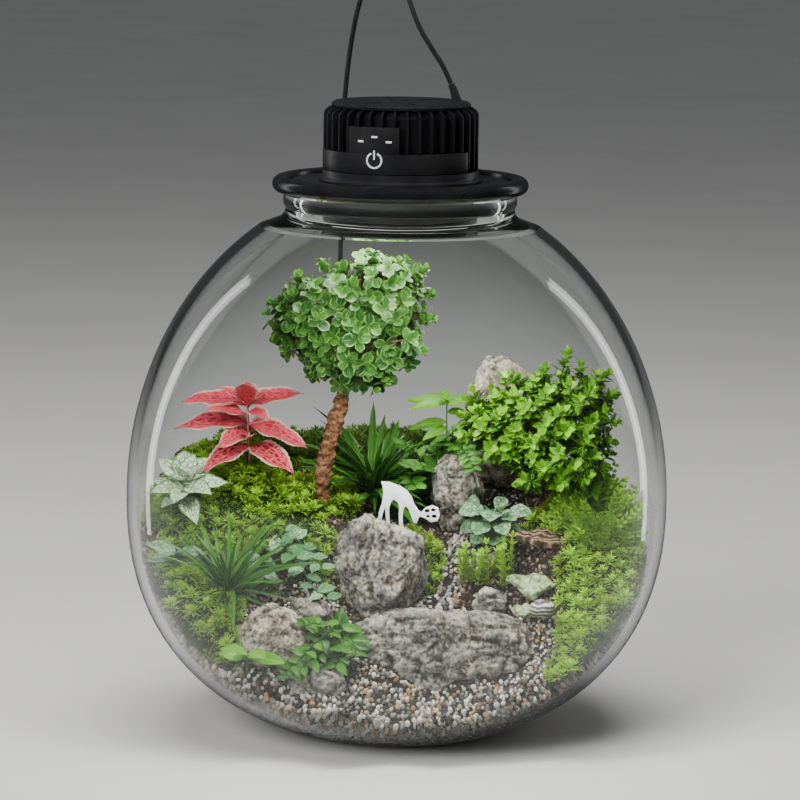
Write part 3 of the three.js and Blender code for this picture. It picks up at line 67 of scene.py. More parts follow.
# ---- Cord, tie and plug ---------------------------------------------------------------------
# A thin round low-voltage lead in black rubber. It rises out of the lamp, falls behind the jar
# and is wound up there, in a tie, with a moulded plug on its end.
CORD_THICK = 0.003
CORD_ROUTE = [
    (0.0289, 0.014, 0.383),
    (0.0265, 0.014, 0.3883),
    (0.0229, 0.014, 0.3951),
    (0.0189, 0.014, 0.401),
    (0.0152, 0.014, 0.4069),
    (0.0116, 0.0141, 0.4127),
    (0.0085, 0.0145, 0.419),
    (0.006, 0.0156, 0.4255),
    (0.0033, 0.0183, 0.4325),
    (-0.0003, 0.023, 0.4395),
    (-0.0052, 0.031, 0.4455),
    (-0.0108, 0.042, 0.4485),
    (-0.0165, 0.0538, 0.4465),
    (-0.0216, 0.0649, 0.439),
    (-0.026, 0.0743, 0.4265),
    (-0.0296, 0.0819, 0.41),
    (-0.0326, 0.0884, 0.389),
    (-0.0348, 0.0938, 0.365),
    (-0.0365, 0.099, 0.34),
    (-0.0376, 0.1045, 0.316),
    (-0.038, 0.1105, 0.293),
    (-0.038, 0.1163, 0.272),
    (-0.038, 0.122, 0.2565),
    (-0.038, 0.1317, 0.2409),
    (-0.038, 0.1435, 0.2157),
    (-0.038, 0.1514, 0.1904),
    (-0.038, 0.1561, 0.1652),
    (-0.038, 0.1577, 0.14),
    (-0.038, 0.1581, 0.1),
    (-0.038, 0.1581, 0.06),
    (-0.038, 0.1581, 0.03),
    (-0.038, 0.1581, 0.0155),
    (-0.038, 0.1543, 0.0059),
    (-0.038, 0.1453, 0.0019),
    (-0.0382, 0.1341, 0.003),
    (-0.0382, 0.1221, 0.005),
]
COIL_MIDDLE = Vector((-0.062, 0.1221, 0))
COIL_TURNS = 7.33
TURN_POINTS = 16
# Where each turn lies in the bundle: radius and height, a cord's thickness apart.
COIL_SLOTS = [
    (0.0205, 0.00285),
    (0.0175, 0.00285),
    (0.0145, 0.00285),
    (0.0145, 0.00585),
    (0.0175, 0.00585),
    (0.0205, 0.00585),
    (0.0205, 0.00885),
    (0.0175, 0.00885),
    (0.0145, 0.00885),
]
PLUG_TAIL = COIL_MIDDLE + Vector((-0.02695, -0.012, 0.0048))


def ease(t):
    t = min(1, max(0, t))
    return t * t * (3 - 2 * t)


def coil_point(turns):
    """The cord's middle after so many turns: each turn steps into the next slot, the later
    turns earlier round the coil, so that none crosses another."""
    k = int(turns)
    step = ease((turns - k - (0.86 - 0.12 * k)) / 0.12)
    radius = COIL_SLOTS[k][0] * (1 - step) + COIL_SLOTS[k + 1][0] * step
    height = COIL_SLOTS[k][1] * (1 - step) + COIL_SLOTS[k + 1][1] * step
    if turns < 0.2:
        radius += 0.0033 * (1 - ease(turns / 0.2))
        height += 0.00215 * (1 - ease(turns / 0.1))
    angle = -2 * math.pi * turns
    return COIL_MIDDLE + Vector((radius * math.cos(angle), radius * math.sin(angle), height))


cord_points = [Vector(p) for p in CORD_ROUTE]
for i in range(1, int(COIL_TURNS * TURN_POINTS) + 1):
    cord_points.append(coil_point(i / TURN_POINTS))
cord_points += [
    PLUG_TAIL + Vector((0.0072, -0.0075, 0.0026)),
    PLUG_TAIL + Vector((0.0018, -0.0056, 0.0004)),
    PLUG_TAIL + Vector((0, 0.001, 0)),
]


def new_finish(name, sockets):
    """A material whose Principled shader has these plain socket values."""
    made = bpy.data.materials.new(name)
    made.use_nodes = True
    shader = made.node_tree.nodes["Principled BSDF"]
    for socket, value in sockets.items():
        shader.inputs[socket].default_value = value
    return made


def node(made, kind, inputs=None, **settings):
    """A new shader node; an input is a plain value or another node's output."""
    added = made.node_tree.nodes.new("ShaderNode" + kind)
    for key, value in settings.items():
        setattr(added, key, value)
    for key, value in (inputs or {}).items():
        if isinstance(value, bpy.types.NodeSocket):
            made.node_tree.links.new(value, added.inputs[key])
        else:
            added.inputs[key].default_value = value
    return added


def on_object(made):
    return node(made, "TexCoord").outputs["Object"]


def ramp(made, factor, stops, interpolation="LINEAR"):
    """Colours along a factor: each stop is its place and a colour of three numbers."""
    added = node(made, "ValToRGB", {"Fac": factor})
    band = added.color_ramp
    band.interpolation = interpolation
    while len(band.elements) < len(stops):
        band.elements.new(0.5)
    for element, (place, colour) in zip(band.elements, stops):
        element.position = place
        element.color = (*colour, 1)
    return added.outputs["Color"]


def speckle(made, scale, detail=4.0, roughness=0.6, where=None):
    """Fine noise over the piece, as a factor."""
    inputs = {
        "Vector": where or on_object(made),
        "Scale": scale,
        "Detail": detail,
        "Roughness": roughness,
    }
    return node(made, "TexNoise", inputs).outputs["Fac"]


def span(made, factor, low, high):
    """A factor of 0 to 1 brought to another range."""
    return node(made, "MapRange", {"Value": factor, 3: low, 4: high}).outputs["Result"]


def wire(made, socket, value):
    made.node_tree.links.new(value, made.node_tree.nodes["Principled BSDF"].inputs[socket])


def emboss(made, height, depth, strength=1.0):
    """Bumps from a height factor, as deep as depth in metres."""
    bump = node(made, "Bump", {"Height": height, "Distance": depth, "Strength": strength})
    wire(made, "Normal", bump.outputs["Normal"])


black_rubber = new_finish("black_rubber", {"Roughness": 0.5, "Specular IOR Level": 0.4})
wire(
    black_rubber,
    "Base Color",
    ramp(black_rubber, speckle(black_rubber, 300), [(0, (0.012, 0.012, 0.013)), (1, (0.03, 0.03, 0.032))]),
)
wire(black_rubber, "Roughness", span(black_rubber, speckle(black_rubber, 900), 0.42, 0.62))
emboss(black_rubber, speckle(black_rubber, 2500), 0.00005, 0.5)

cord_line = bpy.data.curves.new("cord", "CURVE")
cord_line.dimensions = "3D"
cord_line.bevel_depth = CORD_THICK / 2
cord_line.bevel_resolution = 3
cord_line.resolution_u = 5
cord_line.use_fill_caps = True
spline = cord_line.splines.new("BEZIER")
spline.bezier_points.add(len(cord_points) - 1)
for point, place in zip(spline.bezier_points, cord_points):
    point.co = place
    point.handle_left_type = "AUTO"
    point.handle_right_type = "AUTO"
cord_line.materials.append(black_rubber)
cord = bpy.data.objects.new("cord", cord_line)
bpy.context.collection.objects.link(cord)
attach(cord, "root")
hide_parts("cord_run", "cord_coil")

CREASE = math.radians(32)  # folds sharper than this stay sharp in the light


def new_part(name, bm, finish, slot, *nodes, smooth=True):
    """The mesh built in bm as a piece of the part, standing for CAD nodes if any are named."""
    for face in bm.faces:
        face.smooth = smooth
    for edge in bm.edges:
        if edge.is_manifold and edge.calc_face_angle() > CREASE:
            edge.smooth = False
    mesh = bpy.data.meshes.new(name)
    bm.to_mesh(mesh)
    bm.free()
    return new_piece(name, mesh, finish, slot, *nodes)


def new_piece(name, mesh, finish, slot, *nodes):
    mesh.materials.append(finish)
    piece = bpy.data.objects.new(name, mesh)
    bpy.context.collection.objects.link(piece)
    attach(piece, "root")
    if nodes:
        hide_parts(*nodes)
    return piece


def turned(outline, steps=96):
    """A turned shape: an outline of (radius, height) spun round the upright axis."""
    bm = bmesh.new()
    verts = [bm.verts.new((r, 0, z)) for r, z in outline]
    edges = [bm.edges.new(pair) for pair in zip(verts, verts[1:])]
    if outline[0][0] > 0:
        edges.append(bm.edges.new((verts[-1], verts[0])))
    bmesh.ops.spin(
        bm,
        geom=verts + edges,
        axis=(0, 0, 1),
        cent=(0, 0, 0),
        angle=2 * math.pi,
        steps=steps,
        use_merge=True,
    )
    bmesh.ops.remove_doubles(bm, verts=bm.verts, dist=1e-6)
    bmesh.ops.recalc_face_normals(bm, faces=bm.faces)
    return bm


def round_off(bm, width, segments=2, sharper=30):
    """Breaks the edges that fold more sharply than an angle in degrees."""
    folds = [e for e in bm.edges if e.is_manifold and e.calc_face_angle() > math.radians(sharper)]
    bmesh.ops.bevel(
        bm,
        geom=folds,
        offset=width,
        affect="EDGES",
        segments=segments,
        profile=0.5,
        material=-1,
        clamp_overlap=True,
    )
    return bm


black_plastic = new_finish("black_plastic", {"Roughness": 0.38})
wire(
    black_plastic,
    "Base Color",
    ramp(black_plastic, speckle(black_plastic, 60), [(0.3, (0.01, 0.01, 0.011)), (0.7, (0.02, 0.02, 0.021))]),
)
wire(black_plastic, "Roughness", span(black_plastic, speckle(black_plastic, 400), 0.3, 0.46))
emboss(black_plastic, speckle(black_plastic, 3500), 0.00003, 0.6)

PLUG_LAY = Matrix.Translation(PLUG_TAIL + Vector((0, 0.002, 0))) @ Matrix.Rotation(
    math.radians(-90), 4, "X"
)
plug_rings = [(0.0022 + 0.0002 * k, 0.0005 + 0.0018 * k) for k in range(4)]
plug_outline = [(0, -0.002), (0.0016, -0.002)]
for radius, height in plug_rings:
    plug_outline += [(radius, height), (radius, height + 0.001), (radius - 0.0005, height + 0.0011)]
plug_outline += [(0.0034, 0.0082), (0.0046, 0.0096), (0.0046, 0.0242), (0.0039, 0.025), (0, 0.025)]
plug_bm = round_off(turned(plug_outline, 40), 0.00015, 1)
bmesh.ops.transform(plug_bm, matrix=PLUG_LAY, verts=plug_bm.verts)
plug = new_part("plug_grip", plug_bm, black_plastic, "black_plastic", "plug_body")

plug_metal = new_finish("plug_metal", {"Metallic": 1.0, "Roughness": 0.22})
wire(
    plug_metal,
    "Base Color",
    ramp(plug_metal, speckle(plug_metal, 200), [(0.3, (0.62, 0.62, 0.63)), (0.7, (0.75, 0.75, 0.76))]),
)
barrel_outline = [
    (0.0011, 0.02535),
    (0.00275, 0.02535),
    (0.00275, 0.0347),
    (0.0025, 0.035),
    (0.0013, 0.035),
    (0.0011, 0.0346),
]
barrel_bm = turned(barrel_outline, 40)
bmesh.ops.transform(barrel_bm, matrix=PLUG_LAY, verts=barrel_bm.verts)
barrel = new_part("plug_tip", barrel_bm, plug_metal, "plug_metal", "plug_barrel")

tie_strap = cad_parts["cord_tie"]
tie_strap.data.materials.clear()
tie_strap.data.materials.append(black_plastic)

# ---- Floor and light ------------------------------------------------------------------------
# A plain pale floor, soft lamps overhead and in front, and a tall one behind each side that
# draws a bright streak down the glass. The plants also have the light of their own lamp.
FLOOR_REACH = 16

pale_floor = new_finish("pale_floor", {"Roughness": 0.75})
wire(
    pale_floor,
    "Base Color",
    ramp(pale_floor, speckle(pale_floor, 4), [(0.3, (0.62, 0.61, 0.59)), (0.7, (0.66, 0.65, 0.63))]),
)
floor_bm = bmesh.new()
bmesh.ops.create_grid(floor_bm, x_segments=1, y_segments=1, size=FLOOR_REACH)
floor_mesh = bpy.data.meshes.new("floor")
floor_bm.to_mesh(floor_mesh)
floor_bm.free()
floor_mesh.materials.append(pale_floor)
floor = bpy.data.objects.new("floor", floor_mesh)
bpy.context.collection.objects.link(floor)
floor.visible_glossy = False

world = bpy.data.worlds.new("studio")
world.use_nodes = True
world.node_tree.nodes["Background"].inputs["Color"].default_value = (0.8, 0.82, 0.85, 1)
ray = world.node_tree.nodes.new("ShaderNodeLightPath")
strength = world.node_tree.nodes.new("ShaderNodeMapRange")
strength.inputs["To Min"].default_value = 0.24
strength.inputs["To Max"].default_value = 0.05
world.node_tree.links.new(ray.outputs["Is Glossy Ray"], strength.inputs["Value"])
world.node_tree.links.new(
    strength.outputs["Result"], world.node_tree.nodes["Background"].inputs["Strength"]
)
bpy.context.scene.world = world


def studio_lamp(name, place, aim, size, power, colour=(1, 1, 1)):
    data = bpy.data.lights.new(name, "AREA")
    data.shape = "RECTANGLE"
    data.size, data.size_y = size
    data.energy = power
    data.color = colour
    lamp = bpy.data.objects.new(name, data)
    lamp.location = place
    lamp.rotation_mode = "QUATERNION"
    lamp.rotation_quaternion = (Vector(aim) - Vector(place)).to_track_quat("-Z", "Y")
    bpy.context.collection.objects.link(lamp)
    return lamp


overhead = studio_lamp("overhead", (0, -0.1, 1.9), (0, 0, 0.1), (1.2, 1.2), 36)
front_key = studio_lamp("front_key", (-0.9, -1.3, 1.2), (0, 0, 0.15), (0.9, 0.9), 36)
for lamp in (overhead, front_key):
    lamp.visible_glossy = False
    lamp.visible_transmission = False
studio_lamp("left_strip", (-1.1, 0.75, 0.45), (0, 0, 0.2), (0.1, 1.3), 1.8)
studio_lamp("right_strip", (1.1, 0.75, 0.45), (0, 0, 0.2), (0.1, 1.3), 1.8)
warm = (1, 0.99, 0.93)
middle_leds = studio_lamp("middle_leds", (0, 0, 0.293), (0, 0, 0), (0.11, 0.11), 0.42, warm)
front_leds = studio_lamp("front_leds", (0.005, -0.072, 0.258), (0, -0.055, 0), (0.13, 0.05), 0.62, warm)
for lamp in (middle_leds, front_leds):
    lamp.visible_camera = False
    lamp.visible_transmission = False
front_leds.visible_glossy = False

# ---- Jar ------------------------------------------------------------------------------------
# A blown jar of clear glass: a round belly of two curves that meet at the waist, a flat foot
# and a short neck that carries the lid.
JAR_RADIUS = 0.16
JAR_WAIST = 0.14
JAR_RISE = 0.187
JAR_DROP = 0.146
JAR_POWER = 2.3
JAR_WALL = 0.005
JAR_FLOOR = 0.007
NECK_TURN = 0.3


def jar_radius(z, inset=0.0):
    """Radius of the jar's outer skin at a height, taken in by a thickness."""
    across = JAR_RADIUS - inset
    if z >= JAR_WAIST:
        u = (z - JAR_WAIST) / (JAR_RISE - inset)
        return across * math.sqrt(max(0, 1 - u * u))
    u = (JAR_WAIST - z) / (JAR_DROP - inset)
    return across * max(0, 1 - u**JAR_POWER) ** (1 / JAR_POWER)


def levels(low, high, count):
    """Heights that lie closer together towards both ends."""
    middle, half = (low + high) / 2, (high - low) / 2
    return [middle - half * math.cos(math.pi * k / count) for k in range(count + 1)]


jar_outline = [(0, 0), (jar_radius(0) - 0.004, 0), (jar_radius(0), 0.0004)]
jar_outline += [(jar_radius(z), z) for z in levels(0.002, NECK_TURN, 56)]
jar_outline += [
    (0.0705, 0.3045),
    (0.0679, 0.3075),
    (0.0672, 0.3105),
    (0.0685, 0.3132),
    (0.0687, 0.316),
    (0.0681, 0.3187),
    (0.0667, 0.3197),
    (0.0615, 0.3197),
    (0.0603, 0.3188),
    (0.06, 0.3165),
    (0.06, 0.3085),
    (0.0613, 0.3045),
]
inner_top = 0.2985
jar_outline += [(jar_radius(z, JAR_WALL), z) for z in reversed(levels(0.0105, inner_top, 56))]
jar_outline += [(jar_radius(0.0105, JAR_WALL) - 0.004, 0.0078), (0.045, JAR_FLOOR), (0, JAR_FLOOR)]

clear_glass = new_finish(
    "clear_glass",
    {
        "Base Color": (0.975, 0.99, 0.985, 1),
        "Roughness": 0.0,
        "IOR": 1.46,
        "Specular IOR Level": 0.14,
        "Transmission Weight": 1.0,
    },
)
tree = clear_glass.node_tree
shadow_ray = node(clear_glass, "LightPath").outputs["Is Shadow Ray"]
see_through = node(clear_glass, "BsdfTransparent", {"Color": (0.95, 0.97, 0.96, 1)})
passing = node(
    clear_glass,
    "MixShader",
    {0: shadow_ray, 1: tree.nodes["Principled BSDF"].outputs[0], 2: see_through.outputs[0]},
)
tree.links.new(passing.outputs[0], tree.nodes["Material Output"].inputs["Surface"])
new_part("jar", turned(jar_outline, 144), clear_glass, "jar_glass", "glass_jar")

# ---- Lid ------------------------------------------------------------------------------------
# A thick black rubber ring rests on the jar's lip, and a flat plate inside it carries the lamp
# and reaches down into the mouth.
RING_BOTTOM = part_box("lid_ring")[0].z
RING_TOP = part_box("lid_ring")[1].z
RING_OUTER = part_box("lid_ring")[1].x

ring_outline = [(0.0655, RING_BOTTOM), (RING_OUTER - 0.004, RING_BOTTOM)]
ring_middle = (RING_BOTTOM + RING_TOP) / 2
ring_half = (RING_TOP - RING_BOTTOM) / 2
for k in range(13):
    lean = math.radians(-75 + 165 * k / 12)
    ring_outline.append(
        (RING_OUTER - ring_half + ring_half * math.cos(lean), ring_middle + ring_half * math.sin(lean))
    )
ring_outline += [(0.0675, RING_TOP), (0.0656, RING_TOP - 0.0008), (0.065, RING_TOP - 0.003)]
ring_rubber = new_finish("ring_rubber", {"Roughness": 0.26, "Specular IOR Level": 0.5})
wire(
    ring_rubber,
    "Base Color",
    ramp(ring_rubber, speckle(ring_rubber, 60), [(0.3, (0.006, 0.006, 0.007)), (0.7, (0.012, 0.012, 0.013))]),
)
wire(ring_rubber, "Roughness", span(ring_rubber, speckle(ring_rubber, 90), 0.2, 0.32))
new_part("ring", turned(ring_outline, 144), ring_rubber, "black_rubber", "lid_ring")

PLATE_LOW, PLATE_HIGH = (corner.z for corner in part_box("lid_plate"))
PLATE_SEAT = 0.32005
plate_outline = [
    (0.0462, PLATE_SEAT),
    (0.0565, PLATE_SEAT),
    (0.0565, PLATE_LOW),
    (0.0592, PLATE_LOW),
    (0.0592, PLATE_SEAT),
    (0.0646, PLATE_SEAT),
    (0.0646, PLATE_HIGH),
    (0.06, PLATE_HIGH),
    (0.059, PLATE_HIGH - 0.0008),
    (0.0505, PLATE_HIGH - 0.0008),
    (0.0495, PLATE_HIGH),
    (0.0462, PLATE_HIGH),
]
new_part(
    "plate",
    round_off(turned(plate_outline, 120), 0.0003, 2),
    black_plastic,
    "black_plastic",
    "lid_plate",
)

# ---- Lamp housing ---------------------------------------------------------------------------
# Moulded rings: a flange that sits on the plate, a skirt that hangs through it, a bezel that
# holds the lens, and the lens itself in frosted plastic over a board of small LEDs.
for name, cad, outline in [
    (
        "flange",
        "lamp_flange",
        [
            (0, 0.32945),
            (0.0462, 0.32945),
            (0.0462, 0.32685),
            (0.0476, 0.32685),
            (0.0476, 0.3282),
            (0.0472, 0.3288),
            (0.0462, 0.3293),
            (0.0458, 0.3303),
            (0.0458, 0.33355),
            (0, 0.33355),
        ],
    ),
    (
        "skirt",
        "lamp_skirt",
        [(0.0431, 0.30365), (0.0457, 0.30365), (0.0457, 0.3291), (0.0431, 0.3291)],
    ),
    (
        "bezel",
        "lens_bezel",
        [
            (0.0401, 0.2969),
            (0.0451, 0.2969),
            (0.0457, 0.2975),
            (0.0457, 0.3033),
            (0.0421, 0.3033),
            (0.0421, 0.2991),
            (0.0401, 0.2991),
        ],
    ),
]:
    lathed = round_off(turned(outline, 120), 0.0002, 2)
    new_part(name, lathed, black_plastic, "black_plastic", cad)

frosted = new_finish(
    "frosted_lens",
    {"Roughness": 0.45, "IOR": 1.49, "Transmission Weight": 0.5, "Emission Strength": 1.5},
)
wire(
    frosted,
    "Base Color",
    ramp(frosted, speckle(frosted, 150), [(0.2, (0.86, 0.88, 0.9)), (0.8, (0.93, 0.94, 0.95))]),
)
frosted.node_tree.nodes["Principled BSDF"].inputs["Emission Color"].default_value = (1, 0.98, 0.94, 1)
emboss(frosted, speckle(frosted, 1500), 0.00005)
lens_outline = [(0, 0.29945), (0.0412, 0.29945), (0.0417, 0.2999), (0.0417, 0.3033), (0, 0.3033)]
new_part("lens", turned(lens_outline, 96), frosted, "lens", "lamp_lens")

board_white = new_finish("board_white", {"Roughness": 0.5})
board_dots = node(
    board_white,
    "TexVoronoi",
    {"Vector": on_object(board_white), "Scale": 140.0, "Randomness": 0.2},
)
wire(
    board_white,
    "Base Color",
    ramp(
        board_white,
        board_dots.outputs["Distance"],
        [(0.0, (0.9, 0.75, 0.2)), (0.3, (0.9, 0.75, 0.2)), (0.34, (0.82, 0.82, 0.78))],
    ),
)
column_metal = new_finish("column_metal", {"Metallic": 1.0, "Roughness": 0.35})
wire(
    column_metal,
    "Base Color",
    ramp(column_metal, speckle(column_metal, 120), [(0.3, (0.5, 0.5, 0.52)), (0.7, (0.66, 0.66, 0.68))]),
)
emboss(column_metal, speckle(column_metal, 800), 0.00004)
for cad, finish in [("led_board", board_white), ("heat_column", column_metal)]:
    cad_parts[cad].data.materials.clear()
    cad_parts[cad].data.materials.append(finish)

# ---- Heat sink, panel and marks -------------------------------------------------------------
# The lamp's body is cast aluminium with upright fins that bend in over the shoulder, cut away
# in front for a smooth panel that bears the power symbol and the marks for three levels.
anodised = new_finish("anodised", {"Metallic": 0.55, "Roughness": 0.36})
wire(
    anodised,
    "Base Color",
    ramp(anodised, speckle(anodised, 40), [(0.3, (0.014, 0.014, 0.016)), (0.7, (0.026, 0.026, 0.029))]),
)
wire(anodised, "Roughness", span(anodised, speckle(anodised, 250), 0.28, 0.44))
emboss(anodised, speckle(anodised, 2600), 0.00005, 0.6)
print_grey = new_finish("print_grey", {"Roughness": 0.5})
wire(
    print_grey,
    "Base Color",
    ramp(print_grey, speckle(print_grey, 500), [(0.3, (0.72, 0.73, 0.74)), (0.7, (0.82, 0.83, 0.84))]),
)
HUB_RADIUS = 0.0408
FIN_REACH = 0.0454
FINS = 38
FIN_THICK = 0.0015
FIN_BOTTOM = 0.3339
FIN_TOP = 0.3702
PANEL_TOP = 0.3456
PANEL_AZIMUTH = -109
PANEL_SPAN = 78
TAB_FROM, TAB_TO, TAB_TOP = -131, -91, 0.361


def fin_outline(low):
    """A fin's side: it stands on a level, and its outer edge bends in over the shoulder."""
    inner = HUB_RADIUS - 0.0006
    side = [(inner, low), (FIN_REACH, low)]
    for k in range(9):
        bend = math.radians(90 * k / 8)
        side.append((FIN_REACH - 0.0055 * (1 - math.cos(bend)), FIN_TOP - 0.0052 * (1 - math.sin(bend))))
    return side + [(inner, FIN_TOP)]


fins = turned(
    [
        (0, FIN_BOTTOM),
        (HUB_RADIUS, FIN_BOTTOM),
        (HUB_RADIUS, FIN_TOP - 0.0045),
        (HUB_RADIUS - 0.003, FIN_TOP - 0.0008),
        (0, FIN_TOP - 0.0008),
    ],
    114,
)
for k in range(FINS):
    azimuth = (360 * k / FINS + 180) % 360 - 180
    off_panel = abs((azimuth - PANEL_AZIMUTH + 180) % 360 - 180)
    low = FIN_BOTTOM
    if off_panel < PANEL_SPAN + 1:
        low = PANEL_TOP + 0.0004
    if TAB_FROM - 1 < azimuth < TAB_TO + 1:
        low = TAB_TOP + 0.0004
    turn = Matrix.Rotation(math.radians(azimuth), 4, "Z")
    sheet = [turn @ Vector((r, -FIN_THICK / 2, z)) for r, z in fin_outline(low)]
    face = fins.faces.new([fins.verts.new(corner) for corner in sheet])
    grown = bmesh.ops.extrude_face_region(fins, geom=[face])["geom"]
    bmesh.ops.translate(
        fins,
        vec=turn @ Vector((0, FIN_THICK, 0)) - turn @ Vector((0, 0, 0)),
        verts=[v for v in grown if isinstance(v, bmesh.types.BMVert)],
    )
bmesh.ops.recalc_face_normals(fins, faces=fins.faces)
rims = [e for e in fins.edges if e.is_manifold and e.calc_face_angle() > math.radians(60)]
bmesh.ops.bevel(
    fins,
    geom=[e for e in rims if math.hypot(*(e.verts[0].co + e.verts[1].co).xy) / 2 > 0.0411],
    offset=0.00035,
    affect="EDGES",
    segments=2,
    profile=0.5,
    material=-1,
    clamp_overlap=True,
)
new_part("fins", fins, anodised, "black_aluminium", "lamp_heatsink")


def panel_band(from_azimuth, to_azimuth, low, high, steps):
    """A curved plate round the hub between two azimuths and two levels, in one slab."""
    bm = bmesh.new()
    inner, outer = 0.0416, 0.0457
    verts = [
        bm.verts.new((r, 0, z))
        for r, z in ((inner, low), (outer, low), (outer, high), (inner, high))
    ]
    face = bm.faces.new(verts)
    start = Matrix.Rotation(math.radians(from_azimuth), 4, "Z")
    bmesh.ops.transform(bm, matrix=start, verts=verts)
    bmesh.ops.spin(
        bm,
        geom=[*verts, *face.edges, face],
        axis=(0, 0, 1),
        cent=(0, 0, 0),
        angle=math.radians(to_azimuth - from_azimuth),
        steps=steps,
    )
    bmesh.ops.remove_doubles(bm, verts=bm.verts, dist=1e-7)
    bmesh.ops.recalc_face_normals(bm, faces=bm.faces)
    return bm


panel = panel_band(
    PANEL_AZIMUTH - PANEL_SPAN, PANEL_AZIMUTH + PANEL_SPAN, FIN_BOTTOM, PANEL_TOP, 48
)
tab = panel_band(TAB_FROM, TAB_TO, PANEL_TOP - 0.0001, TAB_TOP, 14)
tab_mesh = bpy.data.meshes.new("tab")
tab.to_mesh(tab_mesh)
tab.free()
panel.from_mesh(tab_mesh)
new_part("panel", round_off(panel, 0.0003, 2, 60), black_plastic, "black_plastic", "control_panel")

for cad, finish in [
    ("power_ring", print_grey),
    ("power_bar", print_grey),
    ("level_mark_1", print_grey),
    ("level_mark_2", print_grey),
    ("level_mark_3", print_grey),
    ("lamp_top_cover", black_plastic),
    ("cable_gland", black_rubber),
]:
    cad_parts[cad].data.materials.clear()
    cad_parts[cad].data.materials.append(finish)

# ---- Ground ---------------------------------------------------------------------------------
# Dark potting soil, heaped up to the back and packed inside a shell of washed gravel that
# shows through the glass all round and lies open in front.


def cad_copy(*nodes):
    """A bmesh of CAD nodes with their loose triangles merged."""
    bm = bmesh.new()
    for name in nodes:
        bm.from_mesh(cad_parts[name].data)
    bmesh.ops.remove_doubles(bm, verts=bm.verts, dist=1e-5)
    return bm


def tree_of(*nodes):
    bm = cad_copy(*nodes)
    made = BVHTree.FromBMesh(bm)
    bm.free()
    return made


EARTH = ["soil_mound", "gravel_bed"]
STONES = [
    "rock_under_deer",
    "rock_front",
    "rock_pale",
    "rock_low",
    "rock_behind_pale",
    "rock_peak",
    "rock_middle",
    "rock_by_path",
    "striped_pebble",
]
MOSSES = ["moss_left_bank", "moss_left_low", "moss_right_slope", "moss_back", "moss_by_deer"]
earth_tree = tree_of(*EARTH)
floor_tree = tree_of(*EARTH, *MOSSES, "gravel_path")
stone_tree = tree_of(*STONES)
DOWN = Vector((0, 0, -1))


def drop(x, y, tree_below, top=0.29):
    """Where a plumb line at x, y meets a surface: the point and the surface's normal."""
    point, normal, _, _ = tree_below.ray_cast(Vector((x, y, top)), DOWN)
    return point, normal


soil_dark = new_finish("soil_dark", {"Roughness": 0.95})
wire(
    soil_dark,
    "Base Color",
    ramp(
        soil_dark,
        speckle(soil_dark, 260, 8),
        [(0.3, (0.005, 0.004, 0.003)), (0.55, (0.017, 0.011, 0.007)), (0.75, (0.04, 0.026, 0.016))],
    ),
)
emboss(soil_dark, speckle(soil_dark, 500, 8), 0.0015)
earth = cad_copy("soil_mound")
new_part("soil", earth, soil_dark, "soil", "soil_mound", smooth=False)


def gravel_shades(name, stops):
    """Stone whose colour steps with each grain's own tint."""
    made = new_finish(name, {"Roughness": 0.75})
    tint = node(made, "Attribute", attribute_name="tint").outputs["Fac"]
    base = ramp(made, tint, stops, "CONSTANT")
    fleck = ramp(made, speckle(made, 700, 5), [(0.3, (0.62, 0.6, 0.58)), (0.7, (1.1, 1.1, 1.1))])
    mixed = node(
        made, "Mix", {0: 1.0, 6: base, 7: fleck}, data_type="RGBA", blend_type="MULTIPLY"
    )
    wire(made, "Base Color", mixed.outputs[2])
    emboss(made, speckle(made, 900, 5), 0.0004)
    return made


gravel_mix = gravel_shades(
    "gravel_mix",
    [
        (0.0, (0.56, 0.48, 0.38)),
        (0.17, (0.22, 0.13, 0.075)),
        (0.28, (0.17, 0.165, 0.16)),
        (0.42, (0.78, 0.75, 0.69)),
        (0.64, (0.03, 0.028, 0.03)),
        (0.77, (0.5, 0.29, 0.12)),
        (0.84, (0.38, 0.36, 0.33)),
    ],
)
path_mix = gravel_shades(
    "path_mix",
    [
        (0.0, (0.5, 0.47, 0.43)),
        (0.3, (0.26, 0.25, 0.24)),
        (0.55, (0.62, 0.6, 0.57)),
        (0.78, (0.09, 0.09, 0.095)),
        (0.88, (0.3, 0.21, 0.14)),
    ],
)
litter_mix = gravel_shades(
    "litter_mix",
    [
        (0.0, (0.06, 0.04, 0.026)),
        (0.25, (0.16, 0.11, 0.07)),
        (0.45, (0.29, 0.22, 0.15)),
        (0.6, (0.025, 0.02, 0.016)),
        (0.75, (0.36, 0.33, 0.29)),
        (0.88, (0.1, 0.062, 0.036)),
        (0.94, (0.5, 0.46, 0.4)),
    ],
)


def pebble_shape(seed, uneven=0.2):
    """A grain rounded by wear, about 1 across, in twenty faces."""
    bm = bmesh.new()
    bmesh.ops.create_icosphere(bm, subdivisions=1, radius=0.5)
    rng = random.Random(seed)
    for vert in bm.verts:
        vert.co *= 1 + rng.uniform(-uneven, uneven)
    mesh = bpy.data.meshes.new("grain")
    bm.to_mesh(mesh)
    bm.free()
    return mesh


